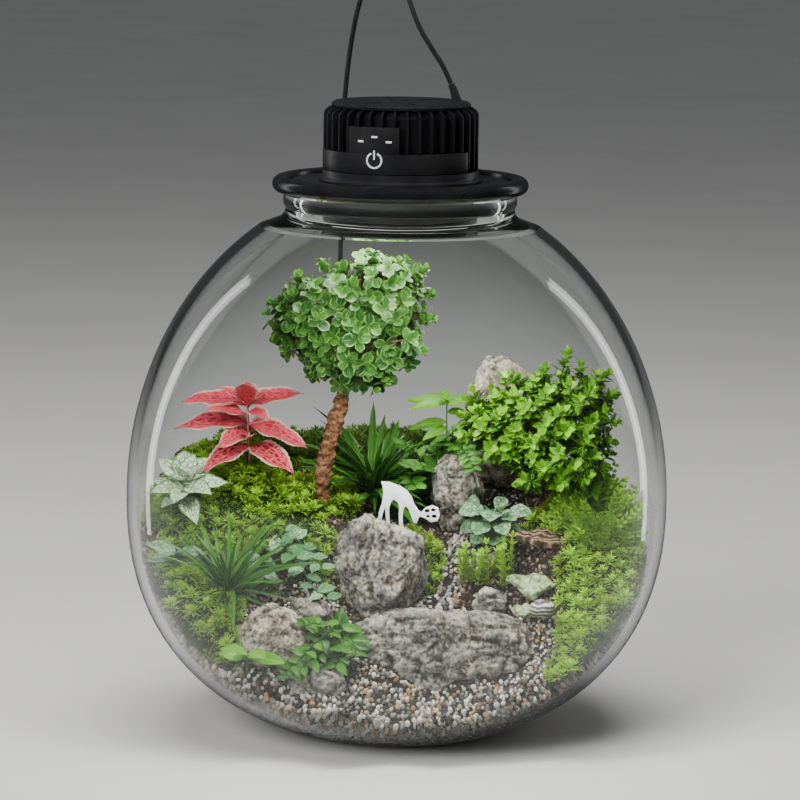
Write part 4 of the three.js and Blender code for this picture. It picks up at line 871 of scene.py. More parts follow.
def strew(name, shapes, places, finish, slot, *nodes, smooth=True):
    """One piece of many copies: each place is a shape's number, a matrix and a tint."""
    corners, loops, sizes, uvs, tints = [], [], [], [], []
    total = 0
    for k, shape in enumerate(shapes):
        matrices = np.array([np.array(matrix) for number, matrix, _ in places if number == k])
        if not len(matrices):
            continue
        shades = np.array([tint for number, _, tint in places if number == k])
        count = len(shape.vertices)
        points = np.empty(count * 3)
        shape.vertices.foreach_get("co", points)
        points = np.c_[points.reshape(-1, 3), np.ones(count)]
        corners.append(np.einsum("nij,kj->nki", matrices, points)[:, :, :3].reshape(-1, 3))
        face_corners = np.empty(len(shape.loops), int)
        shape.loops.foreach_get("vertex_index", face_corners)
        shift = total + count * np.arange(len(matrices))
        loops.append((face_corners[None, :] + shift[:, None]).ravel())
        total += count * len(matrices)
        sizes.append(np.tile([len(face.vertices) for face in shape.polygons], len(matrices)))
        flat = np.zeros(len(shape.loops) * 2)
        if shape.uv_layers:
            shape.uv_layers[0].uv.foreach_get("vector", flat)
        uvs.append(np.tile(flat, len(matrices)))
        tints.append(np.repeat(shades, count))
    corners, loops, sizes = np.concatenate(corners), np.concatenate(loops), np.concatenate(sizes)
    mesh = bpy.data.meshes.new(name)
    mesh.vertices.add(len(corners))
    mesh.vertices.foreach_set("co", corners.ravel())
    mesh.loops.add(len(loops))
    mesh.loops.foreach_set("vertex_index", loops)
    mesh.polygons.add(len(sizes))
    mesh.polygons.foreach_set("loop_start", np.r_[0, np.cumsum(sizes)[:-1]])
    mesh.polygons.foreach_set("use_smooth", np.full(len(sizes), smooth))
    mesh.uv_layers.new(name="UVMap").uv.foreach_set("vector", np.concatenate(uvs))
    tint = mesh.attributes.new("tint", "FLOAT", "POINT")
    tint.data.foreach_set("value", np.concatenate(tints))
    mesh.update(calc_edges=True)
    return new_piece(name, mesh, finish, slot, *nodes)


def surface_points(bm_or_nodes, count, seed, keep=None):
    """Points spread evenly over CAD nodes' faces, each with its face's normal."""
    bm = cad_copy(*bm_or_nodes)
    bmesh.ops.triangulate(bm, faces=bm.faces)
    faces = [f for f in bm.faces if keep is None or keep(f)]
    areas = np.array([f.calc_area() for f in faces])
    rng = np.random.default_rng(seed)
    picks = rng.choice(len(faces), size=count, p=areas / areas.sum())
    found = []
    for pick in picks:
        a, b, c = (v.co for v in faces[pick].verts)
        u, v = rng.random(2)
        if u + v > 1:
            u, v = 1 - u, 1 - v
        found.append((a + (b - a) * u + (c - a) * v, faces[pick].normal.copy()))
    bm.free()
    return found


def spread_out(points, gap):
    """The points that keep a gap from those before them."""
    cells = {}
    kept = []
    for point, normal in points:
        key = tuple(int(math.floor(x / gap)) for x in point)
        near = [
            other
            for dx in (-1, 0, 1)
            for dy in (-1, 0, 1)
            for dz in (-1, 0, 1)
            for other in cells.get((key[0] + dx, key[1] + dy, key[2] + dz), [])
        ]
        if all((point - other).length >= gap for other in near):
            cells.setdefault(key, []).append(point)
            kept.append((point, normal))
    return kept


def turn_any(rng):
    return Euler([rng.uniform(0, 2 * math.pi) for _ in range(3)]).to_matrix().to_4x4()


GRAIN = 0.0034
grain_shapes = [pebble_shape(k) for k in range(5)]
soil_tree = tree_of("soil_mound")
rng = random.Random(4)
grains, back_grains = [], []
bed_points = surface_points(["gravel_bed"], 70000, 7)
for point, normal in spread_out(bed_points, GRAIN * 0.7):
    outward = Vector((point.x, point.y, 0)).normalized()
    buried = normal.z < 0.5 and soil_tree.find_nearest(point)[3] < 0.0012
    if buried:
        continue
    size = GRAIN * rng.uniform(0.7, 1.25)
    middle = point - normal * size * (0.35 if normal.z < 0.3 else 0.02)
    room_left = jar_radius(middle.z, JAR_WALL) - size * 0.6
    flat = math.hypot(middle.x, middle.y)
    if normal.dot(outward) > 0.3 and flat > jar_radius(middle.z, JAR_WALL) - 0.007:
        middle.x *= room_left / flat
        middle.y *= room_left / flat
    squash = Matrix.Diagonal((size, size * rng.uniform(0.7, 1), size * rng.uniform(0.6, 0.9), 1))
    place = Matrix.Translation(middle) @ turn_any(rng) @ squash
    chosen = grains if point.y < -0.02 else back_grains
    chosen.append((rng.randrange(5), place, rng.random()))
strew("gravel_grains", grain_shapes, grains, gravel_mix, "gravel", "gravel_bed", smooth=False)
strew("gravel_back", grain_shapes, back_grains, gravel_mix, "gravel", smooth=False)
bed = cad_copy("gravel_bed")
for vert in bed.verts:
    vert.co.xy *= 0.985
    vert.co.z -= 0.001
new_part("gravel_under", bed, soil_dark, "soil", smooth=False)

path_grains = []
for point, normal in spread_out(surface_points(["gravel_path"], 9000, 9), GRAIN * 0.85):
    if normal.z < 0.1:
        continue
    size = GRAIN * rng.uniform(0.9, 1.6)
    squash = Matrix.Diagonal((size, size * rng.uniform(0.7, 1), size * rng.uniform(0.6, 0.9), 1))
    place = Matrix.Translation(point - normal * size * 0.2) @ turn_any(rng) @ squash
    path_grains.append((rng.randrange(5), place, rng.random()))
cover_tree = tree_of(*STONES, *MOSSES, "gravel_path", "bark_chip", "lichen_plate_1", "lichen_plate_2")
path_tree = tree_of("gravel_path")
open_soil = spread_out(
    surface_points(["soil_mound"], 90000, 15, lambda f: f.normal.z > 0.12), GRAIN * 0.6
)
front_grains, litter = [], []
for point, normal in open_soil:
    if cover_tree.ray_cast(point + normal * 0.0002, -DOWN, 0.0018)[0] is not None:
        continue
    by_path = path_tree.find_nearest(point)[3] < 0.01
    front = point.y < -0.028 + 0.01 * math.sin(point.x * 90) and point.x < 0.1
    size = GRAIN * (rng.uniform(0.9, 1.5) if by_path else rng.uniform(0.7, 1.2))
    thin = rng.uniform(0.55, 0.9) if front or by_path else rng.uniform(0.3, 0.7)
    squash = Matrix.Diagonal((size, size * rng.uniform(0.6, 1), size * thin, 1))
    place = Matrix.Translation(point - normal * size * 0.1) @ turn_any(rng) @ squash
    chosen = path_grains if by_path else front_grains if front else litter
    chosen.append((rng.randrange(5), place, rng.random()))
strew("path_grains", grain_shapes, path_grains, path_mix, "gravel", "gravel_path", smooth=False)
new_part("path_under", cad_copy("gravel_path"), soil_dark, "soil", smooth=False)
strew("front_grains", grain_shapes, front_grains, gravel_mix, "gravel", smooth=False)
strew("litter", grain_shapes, litter, litter_mix, "soil", smooth=False)

clod_mix = gravel_shades(
    "clod_mix",
    [
        (0.0, (0.014, 0.009, 0.006)),
        (0.4, (0.04, 0.026, 0.016)),
        (0.7, (0.007, 0.005, 0.004)),
        (0.86, (0.09, 0.06, 0.037)),
        (0.96, (0.26, 0.24, 0.2)),
    ],
)
clods = []
side_soil = surface_points(["soil_mound"], 40000, 19, lambda f: abs(f.normal.z) <= 0.6)
for point, normal in spread_out(side_soil, 0.0034):
    outward = Vector((point.x, point.y, 0)).normalized()
    wall = jar_radius(point.z, JAR_WALL)
    if normal.dot(outward) < 0.5 or math.hypot(point.x, point.y) < wall - 0.004:
        continue
    size = rng.uniform(0.0025, 0.005)
    reach = wall - size * 0.5 - 0.0004
    middle = Vector((outward.x * reach, outward.y * reach, point.z))
    squash = Matrix.Diagonal((size, size * rng.uniform(0.6, 1), size * rng.uniform(0.5, 0.9), 1))
    clods.append((rng.randrange(5), Matrix.Translation(middle) @ turn_any(rng) @ squash, rng.random()))
strew("clods", grain_shapes, clods, clod_mix, "soil", smooth=False)

# ---- Rocks ----------------------------------------------------------------------------------
# Rough grey limestone, broken and eroded by weather: ledges and pits, with brown dirt stains
# here and there and paler beige faces where it split. Painted shade darkens the cracks and pits,
# and a painted highlight lightens the ridges.


def stone_finish(name, dark, mid, pale, brown):
    """Eroded stone with brown stains, and painted shade and highlight: dark in the dips, pale on ridges."""
    made = new_finish(name, {"Roughness": 0.85})
    place = on_object(made)
    broad = speckle(made, 90, 10, 0.72, place)
    fine = speckle(made, 420, 8, 0.72, place)
    base = ramp(made, broad, [(0.36, dark), (0.5, mid), (0.62, pale)])
    stain = ramp(made, fine, [(0.4, brown), (0.52, (1, 1, 1))])
    tinted = node(
        made, "Mix", {0: 0.8, 6: base, 7: stain}, data_type="RGBA", blend_type="MULTIPLY"
    )
    shade_and_highlight = node(made, "Attribute", attribute_name="shade_and_highlight").outputs["Fac"]
    # Painted shade and highlight from the rock's shading value: near black in the dips, above the stone's own
    # colour on the ridges.
    shade = ramp(
        made,
        shade_and_highlight,
        [(0.0, (0.07, 0.06, 0.05)), (0.35, (0.4, 0.37, 0.34)), (0.6, (0.95, 0.95, 0.94)), (1, (1.5, 1.46, 1.36))],
    )
    # The stained stone times the painted shade and highlight.
    stained_and_shaded = node(
        made, "Mix", {0: 1.0, 6: tinted.outputs[2], 7: shade}, data_type="RGBA", blend_type="MULTIPLY"
    )
    wire(made, "Base Color", stained_and_shaded.outputs[2])
    depth = node(made, "Math", {0: fine, 1: speckle(made, 1400, 5, 0.6, place)}, operation="ADD")
    emboss(made, depth.outputs[0], 0.0011, 0.9)
    return made


grey_stone = stone_finish(
    "grey_stone", (0.17, 0.17, 0.165), (0.33, 0.325, 0.305), (0.55, 0.5, 0.41), (0.5, 0.4, 0.3)
)
pale_stone = stone_finish(
    "pale_stone", (0.28, 0.25, 0.2), (0.5, 0.46, 0.38), (0.68, 0.63, 0.53), (0.6, 0.5, 0.38)
)


def rough_rock(name, step, depth, seed, grain):
    """A CAD rock divided into small faces and broken up: plates along its grain, each edged by
    a crack, with wrinkles and pits over them."""
    bm = cad_copy(name)
    for cut in range(8):
        long_edges = [e for e in bm.edges if e.calc_length() > step]
        if not long_edges:
            break
        bmesh.ops.subdivide_edges(bm, edges=long_edges, cuts=1)
        bmesh.ops.triangulate(bm, faces=bm.faces)
        if cut < 3:
            bmesh.ops.smooth_vert(
                bm, verts=bm.verts, factor=0.25, use_axis_x=True, use_axis_y=True, use_axis_z=True
            )
    bm.normal_update()
    # Each corner keeps a painted shading value for the stone's finish.
    shade_and_highlight = bm.verts.layers.float.new("shade_and_highlight")
    shift = Vector((seed * 1.7, seed * 0.9, seed * 2.3))
    lie = Vector(grain).to_track_quat("Z", "Y").inverted()
    moves = []
    for vert in bm.verts:
        p = lie @ vert.co
        p = Vector((p.x, p.y, p.z * 0.7)) + shift * 0.01
        p += noise.noise_vector(p * 60 + shift) * 0.006
        near = noise.voronoi(p * 62)[0]
        crack = min(1.0, (near[1] - near[0]) * 3.5)
        chip = min(1.0, noise.voronoi(p * 165 + shift)[0][0] * 2.2)
        wrinkle = noise.ridged_multi_fractal(p * 190 + shift, 0.9, 2.1, 5, 1.0, 2.0) - 1.15
        pit = noise.fractal(vert.co * 620 + shift, 0.8, 2.1, 3)
        ledge = noise.hetero_terrain(p * 34 + shift, 1.0, 2.0, 4, 0.7) - 0.7
        rise = 0.9 * ledge + 0.45 * wrinkle + 0.3 * pit - 0.6 * (1 - crack) - 0.35 * chip
        # Painted light: darker in cracks, pits and chips, lighter on the wrinkles.
        painted_lightness = 0.86 + 0.26 * wrinkle + 0.46 * pit - 0.34 * (1 - crack) - 0.24 * chip
        vert[shade_and_highlight] = min(1.0, max(0.0, painted_lightness))
        moves.append(vert.normal * depth * rise)
    for vert, move in zip(bm.verts, moves):
        vert.co += move
    return bm


UPRIGHT, LEVEL = (0.25, 0.1, 1), (1, 0.2, -0.12)
ROCKS = {
    "rock_under_deer": ("deer_rock", 0.0011, 0.0021, grey_stone, "grey_stone", UPRIGHT),
    "rock_front": ("front_rock", 0.0013, 0.0024, grey_stone, "grey_stone", LEVEL),
    "rock_pale": ("pale_rock", 0.0012, 0.0014, pale_stone, "pale_stone", LEVEL),
    "rock_low": ("low_rock", 0.0012, 0.0018, grey_stone, "grey_stone", LEVEL),
    "rock_behind_pale": ("back_rock", 0.0012, 0.0014, grey_stone, "grey_stone", LEVEL),
    "rock_peak": ("peak_rock", 0.0018, 0.0018, pale_stone, "grey_stone", UPRIGHT),
    "rock_middle": ("middle_rock", 0.0013, 0.002, grey_stone, "grey_stone", UPRIGHT),
    "rock_by_path": ("path_rock", 0.0011, 0.0016, grey_stone, "grey_stone", LEVEL),
}
for seed, (cad, (name, step, depth, finish, slot, grain)) in enumerate(ROCKS.items()):
    new_part(name, rough_rock(cad, step, depth, seed, grain), finish, slot, cad)

striped = new_finish("striped", {"Roughness": 0.6})
bands = node(
    striped,
    "TexWave",
    {"Vector": on_object(striped), "Scale": 130.0, "Distortion": 6.0, "Detail": 3.0},
    bands_direction="Z",
)
wire(
    striped,
    "Base Color",
    ramp(
        striped,
        bands.outputs["Fac"],
        [(0.2, (0.09, 0.085, 0.08)), (0.6, (0.3, 0.28, 0.25)), (0.9, (0.6, 0.57, 0.5))],
    ),
)
emboss(striped, speckle(striped, 500), 0.0004)
pebble = cad_copy("striped_pebble")
for _ in range(3):
    bmesh.ops.subdivide_edges(pebble, edges=pebble.edges, cuts=1, use_grid_fill=True)
    bmesh.ops.smooth_vert(
        pebble, verts=pebble.verts, factor=0.5, use_axis_x=True, use_axis_y=True, use_axis_z=True
    )
new_part("pebble", pebble, striped, "grey_stone", "striped_pebble")

# ---- Deer -----------------------------------------------------------------------------------
# A small grazing deer cut flat out of white acrylic sheet, its hooves set into the stone.
acrylic = new_finish("acrylic", {"Roughness": 0.28, "Subsurface Weight": 0.15})
wire(
    acrylic,
    "Base Color",
    ramp(acrylic, speckle(acrylic, 90), [(0.3, (0.9, 0.9, 0.9)), (0.7, (0.95, 0.95, 0.95))]),
)
emboss(acrylic, speckle(acrylic, 900), 0.00003)
deer = cad_copy("white_deer")
bmesh.ops.dissolve_limit(
    deer, angle_limit=math.radians(1), verts=deer.verts, edges=deer.edges, use_dissolve_boundaries=False
)
new_part("deer", round_off(deer, 0.00022, 2, 60), acrylic, "white_plastic", "white_deer")

# ---- Moss -----------------------------------------------------------------------------------
# Living moss in low cushions: each is a felt of short dark shoots on a near-black cushion, its
# own dark growth and painted shade, with brighter star-shaped rosettes standing out of the ones
# in front.


def tinted_leaf(name, dark, light, tip, rough=0.5, gloss=0.4, through=0.2):
    """Leaf green that shifts with each copy's tint and pales towards the tip."""
    made = new_finish(name, {"Roughness": rough, "Specular IOR Level": gloss})
    tint = node(made, "Attribute", attribute_name="tint").outputs["Fac"]
    base = ramp(made, tint, [(0.0, dark), (1.0, light)])
    place = node(made, "UVMap", uv_map="UVMap").outputs["UV"]
    along = node(made, "SeparateXYZ", {0: place}).outputs["X"]
    mixed = node(
        made, "Mix", {0: span(made, along, 0.0, 0.55), 6: base, 7: (*tip, 1)}, data_type="RGBA"
    )
    wire(made, "Base Color", mixed.outputs[2])
    shader = made.node_tree.nodes["Principled BSDF"]
    glow = node(made, "BsdfTranslucent", {"Color": mixed.outputs[2]})
    both = node(made, "MixShader", {0: through, 1: shader.outputs[0], 2: glow.outputs[0]})
    made.node_tree.links.new(
        both.outputs[0], made.node_tree.nodes["Material Output"].inputs["Surface"]
    )
    return made


def spikes(count, length, width, pitch_low, pitch_high, seed, tiers=1, stalk=0.0):
    """A shoot of slim pointed leaves round one point, each a folded strip of two quads."""
    bm = bmesh.new()
    layer = bm.loops.layers.uv.new("UVMap")
    rng = random.Random(seed)
    for tier in range(tiers):
        for k in range(count):
            share = tier / max(1, tiers - 1)
            pitch = math.radians(rng.uniform(pitch_low, pitch_high) + 25 * share)
            turn = 2 * math.pi * (k + rng.uniform(-0.3, 0.3)) / count + 1.1 * tier
            long = length * rng.uniform(0.8, 1.1) * (1 - 0.3 * share)
            out = Vector((math.cos(turn) * math.cos(pitch), math.sin(turn) * math.cos(pitch), math.sin(pitch)))
            side = Vector((-math.sin(turn), math.cos(turn), 0)) * width / 2
            foot = Vector((0, 0, stalk * share))
            middle = foot + out * long * 0.45 + Vector((0, 0, long * 0.05))
            tip = foot + out * long - Vector((0, 0, long * 0.1))
            a, b = bm.verts.new(foot), bm.verts.new(middle + side)
            c, d = bm.verts.new(tip), bm.verts.new(middle - side)
            for corners, marks in (((a, d, c), (0, 0.5, 1)), ((a, c, b), (0, 1, 0.5))):
                face = bm.faces.new(corners)
                for loop, mark in zip(face.loops, marks):
                    loop[layer].uv = (mark, 0.5)
    mesh = bpy.data.meshes.new("shoot")
    bm.to_mesh(mesh)
    bm.free()
    return mesh


def upright(point, normal, rng, size, lean=0.5):
    """A place for a shoot: on a point, leaning part way to the surface's normal."""
    up = (Vector((0, 0, 1)) * (1 - lean) + normal * lean).normalized()
    loose = Vector((rng.uniform(-0.35, 0.35), rng.uniform(-0.35, 0.35), 0))
    stand = (up + loose).normalized().to_track_quat("Z", "Y").to_matrix().to_4x4()
    spin = Matrix.Rotation(rng.uniform(0, 2 * math.pi), 4, "Z")
    return Matrix.Translation(point) @ stand @ spin @ Matrix.Scale(size, 4)


def inside_jar(point, margin=0.001):
    return math.hypot(point.x, point.y) < jar_radius(point.z, JAR_WALL) - margin


dark_moss = tinted_leaf("dark_moss", (0.006, 0.028, 0.003), (0.2, 0.46, 0.012), (0.46, 0.7, 0.06))
# The moss at the back takes a darker copy of the moss green: painted shade.
shade_moss = tinted_leaf("shade_moss", (0.008, 0.03, 0.003), (0.06, 0.15, 0.01), (0.15, 0.26, 0.03))
bright_moss = tinted_leaf("bright_moss", (0.008, 0.036, 0.003), (0.3, 0.64, 0.01), (0.66, 0.92, 0.07))
# The cushion under the shoots is near black: the moss's own dark lower growth, and painted shade in the gaps
# between the shoots.
moss_felt_and_shade = new_finish("moss_felt_and_shade", {"Roughness": 1.0})
wire(
    moss_felt_and_shade,
    "Base Color",
    ramp(
        moss_felt_and_shade,
        speckle(moss_felt_and_shade, 400, 6),
        [(0.35, (0.004, 0.01, 0.002)), (0.6, (0.02, 0.045, 0.006)), (0.8, (0.05, 0.06, 0.015))],
    ),
)
emboss(moss_felt_and_shade, speckle(moss_felt_and_shade, 600, 6), 0.002)

short_shoots = [spikes(7, 1.0, 0.17, 20, 60, k, tiers=2, stalk=0.5) for k in range(4)]
star_shoots = [spikes(9, 1.0, 0.16, 2, 40, 20 + k, tiers=3, stalk=0.4) for k in range(4)]
rng = random.Random(12)
for cad, count, gap, size, finish in [
    ("moss_left_bank", 40000, 0.0032, 0.0046, dark_moss),
    ("moss_back", 30000, 0.004, 0.006, shade_moss),
    ("moss_left_low", 20000, 0.0034, 0.0048, bright_moss),
    ("moss_right_slope", 40000, 0.0034, 0.0048, bright_moss),
    ("moss_by_deer", 6000, 0.0026, 0.0038, bright_moss),
]:
    cushion = cad_copy(cad)
    for _ in range(3):
        bmesh.ops.subdivide_edges(
            cushion, edges=[e for e in cushion.edges if e.calc_length() > 0.004], cuts=1
        )
        bmesh.ops.triangulate(cushion, faces=cushion.faces)
    bmesh.ops.smooth_vert(
        cushion, verts=cushion.verts, factor=0.5, use_axis_x=True, use_axis_y=True, use_axis_z=True
    )
    # The near-black cushion: own dark growth and painted shade.
    new_part(cad + "_felt", cushion, moss_felt_and_shade, "bright_moss" if finish == bright_moss else "dark_moss")
    places = []
    for star, spread, scale in ((0, 1.0, 1.0), (1, 1.75, 1.5)):
        for point, normal in spread_out(surface_points([cad], count, 3 + star), gap * spread):
            if normal.z < -0.1 or not inside_jar(point, 0.0035):
                continue
            tall = size * scale * rng.uniform(0.75, 1.2)
            tint = min(1, max(0, rng.gauss(0.18 + 0.45 * star, 0.12 + 0.1 * star)))
            place = upright(point + normal * size * (0.3 * star - 0.2), normal, rng, tall)
            places.append((rng.randrange(4) + 4 * star, place, tint))
    slot = "bright_moss" if finish == bright_moss else "dark_moss"
    strew(cad + "_shoots", short_shoots + star_shoots, places, finish, slot, cad, smooth=False)

# ---- Loose pieces on the slope --------------------------------------------------------------
# A chip of bark and two curled plates of pale lichen that lie on the ground at the right.


def ruffled(name, cuts, depth, scale, seed):
    """A CAD plate divided finely and waved."""
    bm = cad_copy(name)
    for _ in range(cuts):
        bmesh.ops.subdivide_edges(
            bm, edges=[e for e in bm.edges if e.calc_length() > 0.0012], cuts=1
        )
        bmesh.ops.triangulate(bm, faces=bm.faces)
        bmesh.ops.smooth_vert(
            bm, verts=bm.verts, factor=0.3, use_axis_x=True, use_axis_y=True, use_axis_z=True
        )
    bm.normal_update()
    shift = Vector((seed, 2 * seed, 3 * seed))
    moves = [v.normal * depth * noise.fractal(v.co * scale + shift, 0.8, 2.2, 5) for v in bm.verts]
    for vert, move in zip(bm.verts, moves):
        vert.co += move
    return bm


bark_finish = new_finish("bark_finish", {"Roughness": 0.9})
bark_grain = node(
    bark_finish,
    "TexWave",
    {"Vector": on_object(bark_finish), "Scale": 90.0, "Distortion": 9.0, "Detail": 5.0},
    bands_direction="Y",
)
wire(
    bark_finish,
    "Base Color",
    ramp(
        bark_finish,
        bark_grain.outputs["Fac"],
        [(0.1, (0.03, 0.018, 0.01)), (0.6, (0.13, 0.08, 0.045)), (0.95, (0.3, 0.21, 0.13))],
    ),
)
emboss(bark_finish, bark_grain.outputs["Fac"], 0.0008)
new_part("bark", ruffled("bark_chip", 4, 0.0013, 140, 2), bark_finish, "bark", "bark_chip")

lichen_finish = new_finish("lichen_finish", {"Roughness": 0.85})
wire(
    lichen_finish,
    "Base Color",
    ramp(
        lichen_finish,
        speckle(lichen_finish, 320, 7),
        [(0.35, (0.08, 0.12, 0.05)), (0.5, (0.27, 0.36, 0.18)), (0.68, (0.55, 0.6, 0.42))],
    ),
)
emboss(lichen_finish, speckle(lichen_finish, 500, 7), 0.0008)
for k, cad in enumerate(["lichen_plate_1", "lichen_plate_2"]):
    new_part(f"lichen_{k}", ruffled(cad, 4, 0.0022, 130, 5 + k), lichen_finish, "lichen", cad)

# ---- Tree -----------------------------------------------------------------------------------
# A small-leaved fig grown as a little standard: a rough reddish trunk with ringed bark, thin
# twigs and a round head of small leaves with pale edges, whorled at the twigs' ends.
MM = 0.001


def leaf_shape(length, width, outline, arch=0.1, cup=0.15, steps=6, across=4, wave=0.0, seed=0):
    """A leaf from its stalk at the origin along +X, face up; outline is its half width's share."""
    bm = bmesh.new()
    bmesh.ops.create_grid(bm, x_segments=steps, y_segments=across, size=0.5)
    layer = bm.loops.layers.uv.new("UVMap")
    for face in bm.faces:
        for loop in face.loops:
            loop[layer].uv = (loop.vert.co.x + 0.5, loop.vert.co.y + 0.5)
    phase = random.Random(seed).uniform(0, 6.28)
    for vert in bm.verts:
        t, s = vert.co.x + 0.5, 2 * vert.co.y
        half = outline(t) * width / 2
        lift = cup * half * abs(s) - arch * length * t * t
        lift += wave * length * s * s * math.sin(14 * t + phase + (2 if s > 0 else 0))
        vert.co = (length * t, s * half, lift)
    bmesh.ops.remove_doubles(bm, verts=bm.verts, dist=1e-7)
    mesh = bpy.data.meshes.new("leaf")
    bm.to_mesh(mesh)
    bm.free()
    return mesh


def egg(fullest, power=0.8):
    """A leaf's outline that is widest at a share of its length."""
    bend = math.log(0.5) / math.log(fullest)
    return lambda t: max(0.0, math.sin(math.pi * min(1, max(0, t)) ** bend)) ** power


def toothed(outline, teeth, depth):
    return lambda t: outline(t) * (1 - depth * ((t * teeth) % 1))


def leaf_finish(name, dark, light, vein, rim=None, lines=6, line=0.06, net=0, rough=0.38, through=0.2):
    """A leaf's face: its own tint, a midrib with side veins in turn, perhaps a net and a rim."""
    made = new_finish(name, {"Roughness": rough})
    tint = node(made, "Attribute", attribute_name="tint").outputs["Fac"]
    uv = node(made, "UVMap", uv_map="UVMap").outputs["UV"]
    axes = node(made, "SeparateXYZ", {0: uv}).outputs
    aside = node(made, "Math", {0: axes["Y"], 1: 0.5}, operation="SUBTRACT").outputs[0]
    off = node(made, "Math", {0: aside}, operation="ABSOLUTE").outputs[0]
    midrib = node(
        made, "MapRange", {"Value": off, 1: line * 0.3, 2: line, 3: 1.0, 4: 0.0}
    ).outputs["Result"]
    slant = node(made, "Math", {0: off, 1: -1.1}, operation="MULTIPLY").outputs[0]
    run = node(made, "Math", {0: axes["X"], 1: slant}, operation="ADD").outputs[0]
    steps = node(made, "Math", {0: run, 1: float(lines)}, operation="MULTIPLY").outputs[0]
    phase = node(made, "Math", {0: steps, 1: 0.5}, operation="PINGPONG").outputs[0]
    ribs = node(
        made, "MapRange", {"Value": phase, 1: line * 0.6, 2: line * 1.6, 3: 0.8, 4: 0.0}
    ).outputs["Result"]
    veined = node(made, "Math", {0: midrib, 1: ribs}, operation="MAXIMUM").outputs[0]
    if net:
        cells = node(
            made, "TexVoronoi", {"Vector": uv, "Scale": float(net)}, feature="DISTANCE_TO_EDGE"
        )
        web = node(
            made, "MapRange", {"Value": cells.outputs["Distance"], 1: 0.03, 2: 0.2, 3: 0.85, 4: 0.0}
        ).outputs["Result"]
        veined = node(made, "Math", {0: veined, 1: web}, operation="MAXIMUM").outputs[0]
    base = ramp(made, tint, [(0.0, dark), (1.0, light)])
    shade = node(made, "Mix", {0: veined, 6: base, 7: (*vein, 1)}, data_type="RGBA").outputs[2]
    if rim:
        edge = node(made, "MapRange", {"Value": off, 1: 0.36, 2: 0.47, 3: 0.0, 4: 0.85})
        shade = node(
            made, "Mix", {0: edge.outputs["Result"], 6: shade, 7: (*rim, 1)}, data_type="RGBA"
        ).outputs[2]
    wire(made, "Base Color", shade)
    emboss(made, veined, -0.0003, 0.6)
    glow = node(made, "BsdfTranslucent", {"Color": shade})
    shader = made.node_tree.nodes["Principled BSDF"]
    both = node(made, "MixShader", {0: through, 1: shader.outputs[0], 2: glow.outputs[0]})
    made.node_tree.links.new(
        both.outputs[0], made.node_tree.nodes["Material Output"].inputs["Surface"]
    )
    return made


def stems(name, ways, thick, finish, slot, *nodes, taper=0.6):
    """Round stems through points, one line each, thinner towards their tips."""
    line = bpy.data.curves.new(name, "CURVE")
    line.dimensions = "3D"
    line.bevel_depth = thick / 2
    line.bevel_resolution = 1
    line.resolution_u = 3
    line.use_fill_caps = True
    for way in ways:
        spline = line.splines.new("BEZIER")
        spline.bezier_points.add(len(way) - 1)
        for k, (point, place) in enumerate(zip(spline.bezier_points, way)):
            point.co = place
            point.handle_left_type = "AUTO"
            point.handle_right_type = "AUTO"
            point.radius = 1 - (1 - taper) * k / (len(way) - 1)
    line.materials.append(finish)
    piece = bpy.data.objects.new(name, line)
    bpy.context.collection.objects.link(piece)
    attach(piece, "root")
    if nodes:
        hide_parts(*nodes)
    return piece


def lay_leaf(at, along, face, size=1.0):
    """A leaf's place: its stalk at a point, its tip along one way and its face another."""
    x = along.normalized()
    z = (face - x * face.dot(x)).normalized()
    turn = Matrix((x, z.cross(x), z)).transposed().to_4x4()
    return Matrix.Translation(at) @ turn @ Matrix.Scale(size, 4)


def whorl(at, axis, count, pitch, rng, size, shapes, places, twist=0.0, paleness=0.5):
    """Leaves round an axis, each lifted from the level by a pitch towards it."""
    axis = axis.normalized()
    side = axis.orthogonal().normalized()
    for k in range(count):
        angle = twist + 2 * math.pi * (k + rng.uniform(-0.22, 0.22)) / count
        flat = Quaternion(axis, angle) @ side
        lift = math.radians(pitch + rng.uniform(-14, 14))
        along = flat * math.cos(lift) + axis * math.sin(lift)
        face = axis * math.cos(lift) - flat * math.sin(lift)
        place = lay_leaf(at, along, face, size * rng.uniform(0.8, 1.15))
        tint = min(1, max(0, rng.gauss(paleness, 0.2)))
        places.append((rng.randrange(shapes), place, tint))


def lump_points(lumps, gap, shell=1.0, low=-0.85, seed=0):
    """Points evenly over a group of lumps' outer skin, each with its outward direction."""
    rng = random.Random(seed)
    golden = math.pi * (3 - math.sqrt(5))
    found = []
    for k, (middle, half) in enumerate(lumps):
        middle, half = Vector(middle) * MM, Vector(half) * MM * shell
        area = 4 * math.pi * ((half.x * half.y + half.y * half.z + half.x * half.z) / 3)
        count = int(area / (gap * gap))
        for i in range(count):
            height = 1 - 2 * (i + 0.5) / count
            flat = math.sqrt(1 - height * height)
            turn = i * golden + k
            out = Vector((flat * math.cos(turn), flat * math.sin(turn), height))
            point = middle + Vector((out.x * half.x, out.y * half.y, out.z * half.z))
            point += Vector([rng.uniform(-0.2, 0.2) * gap for _ in range(3)])
            buried = any(
                sum(
                    ((point[a] - other[0][a] * MM) / (other[1][a] * MM * shell)) ** 2
                    for a in range(3)
                )
                < 0.82
                for other in lumps
                if other is not lumps[k]
            )
            normal = Vector((out.x / half.x, out.y / half.y, out.z / half.z)).normalized()
            if not buried and height > low:
                found.append((point, normal))
    return found


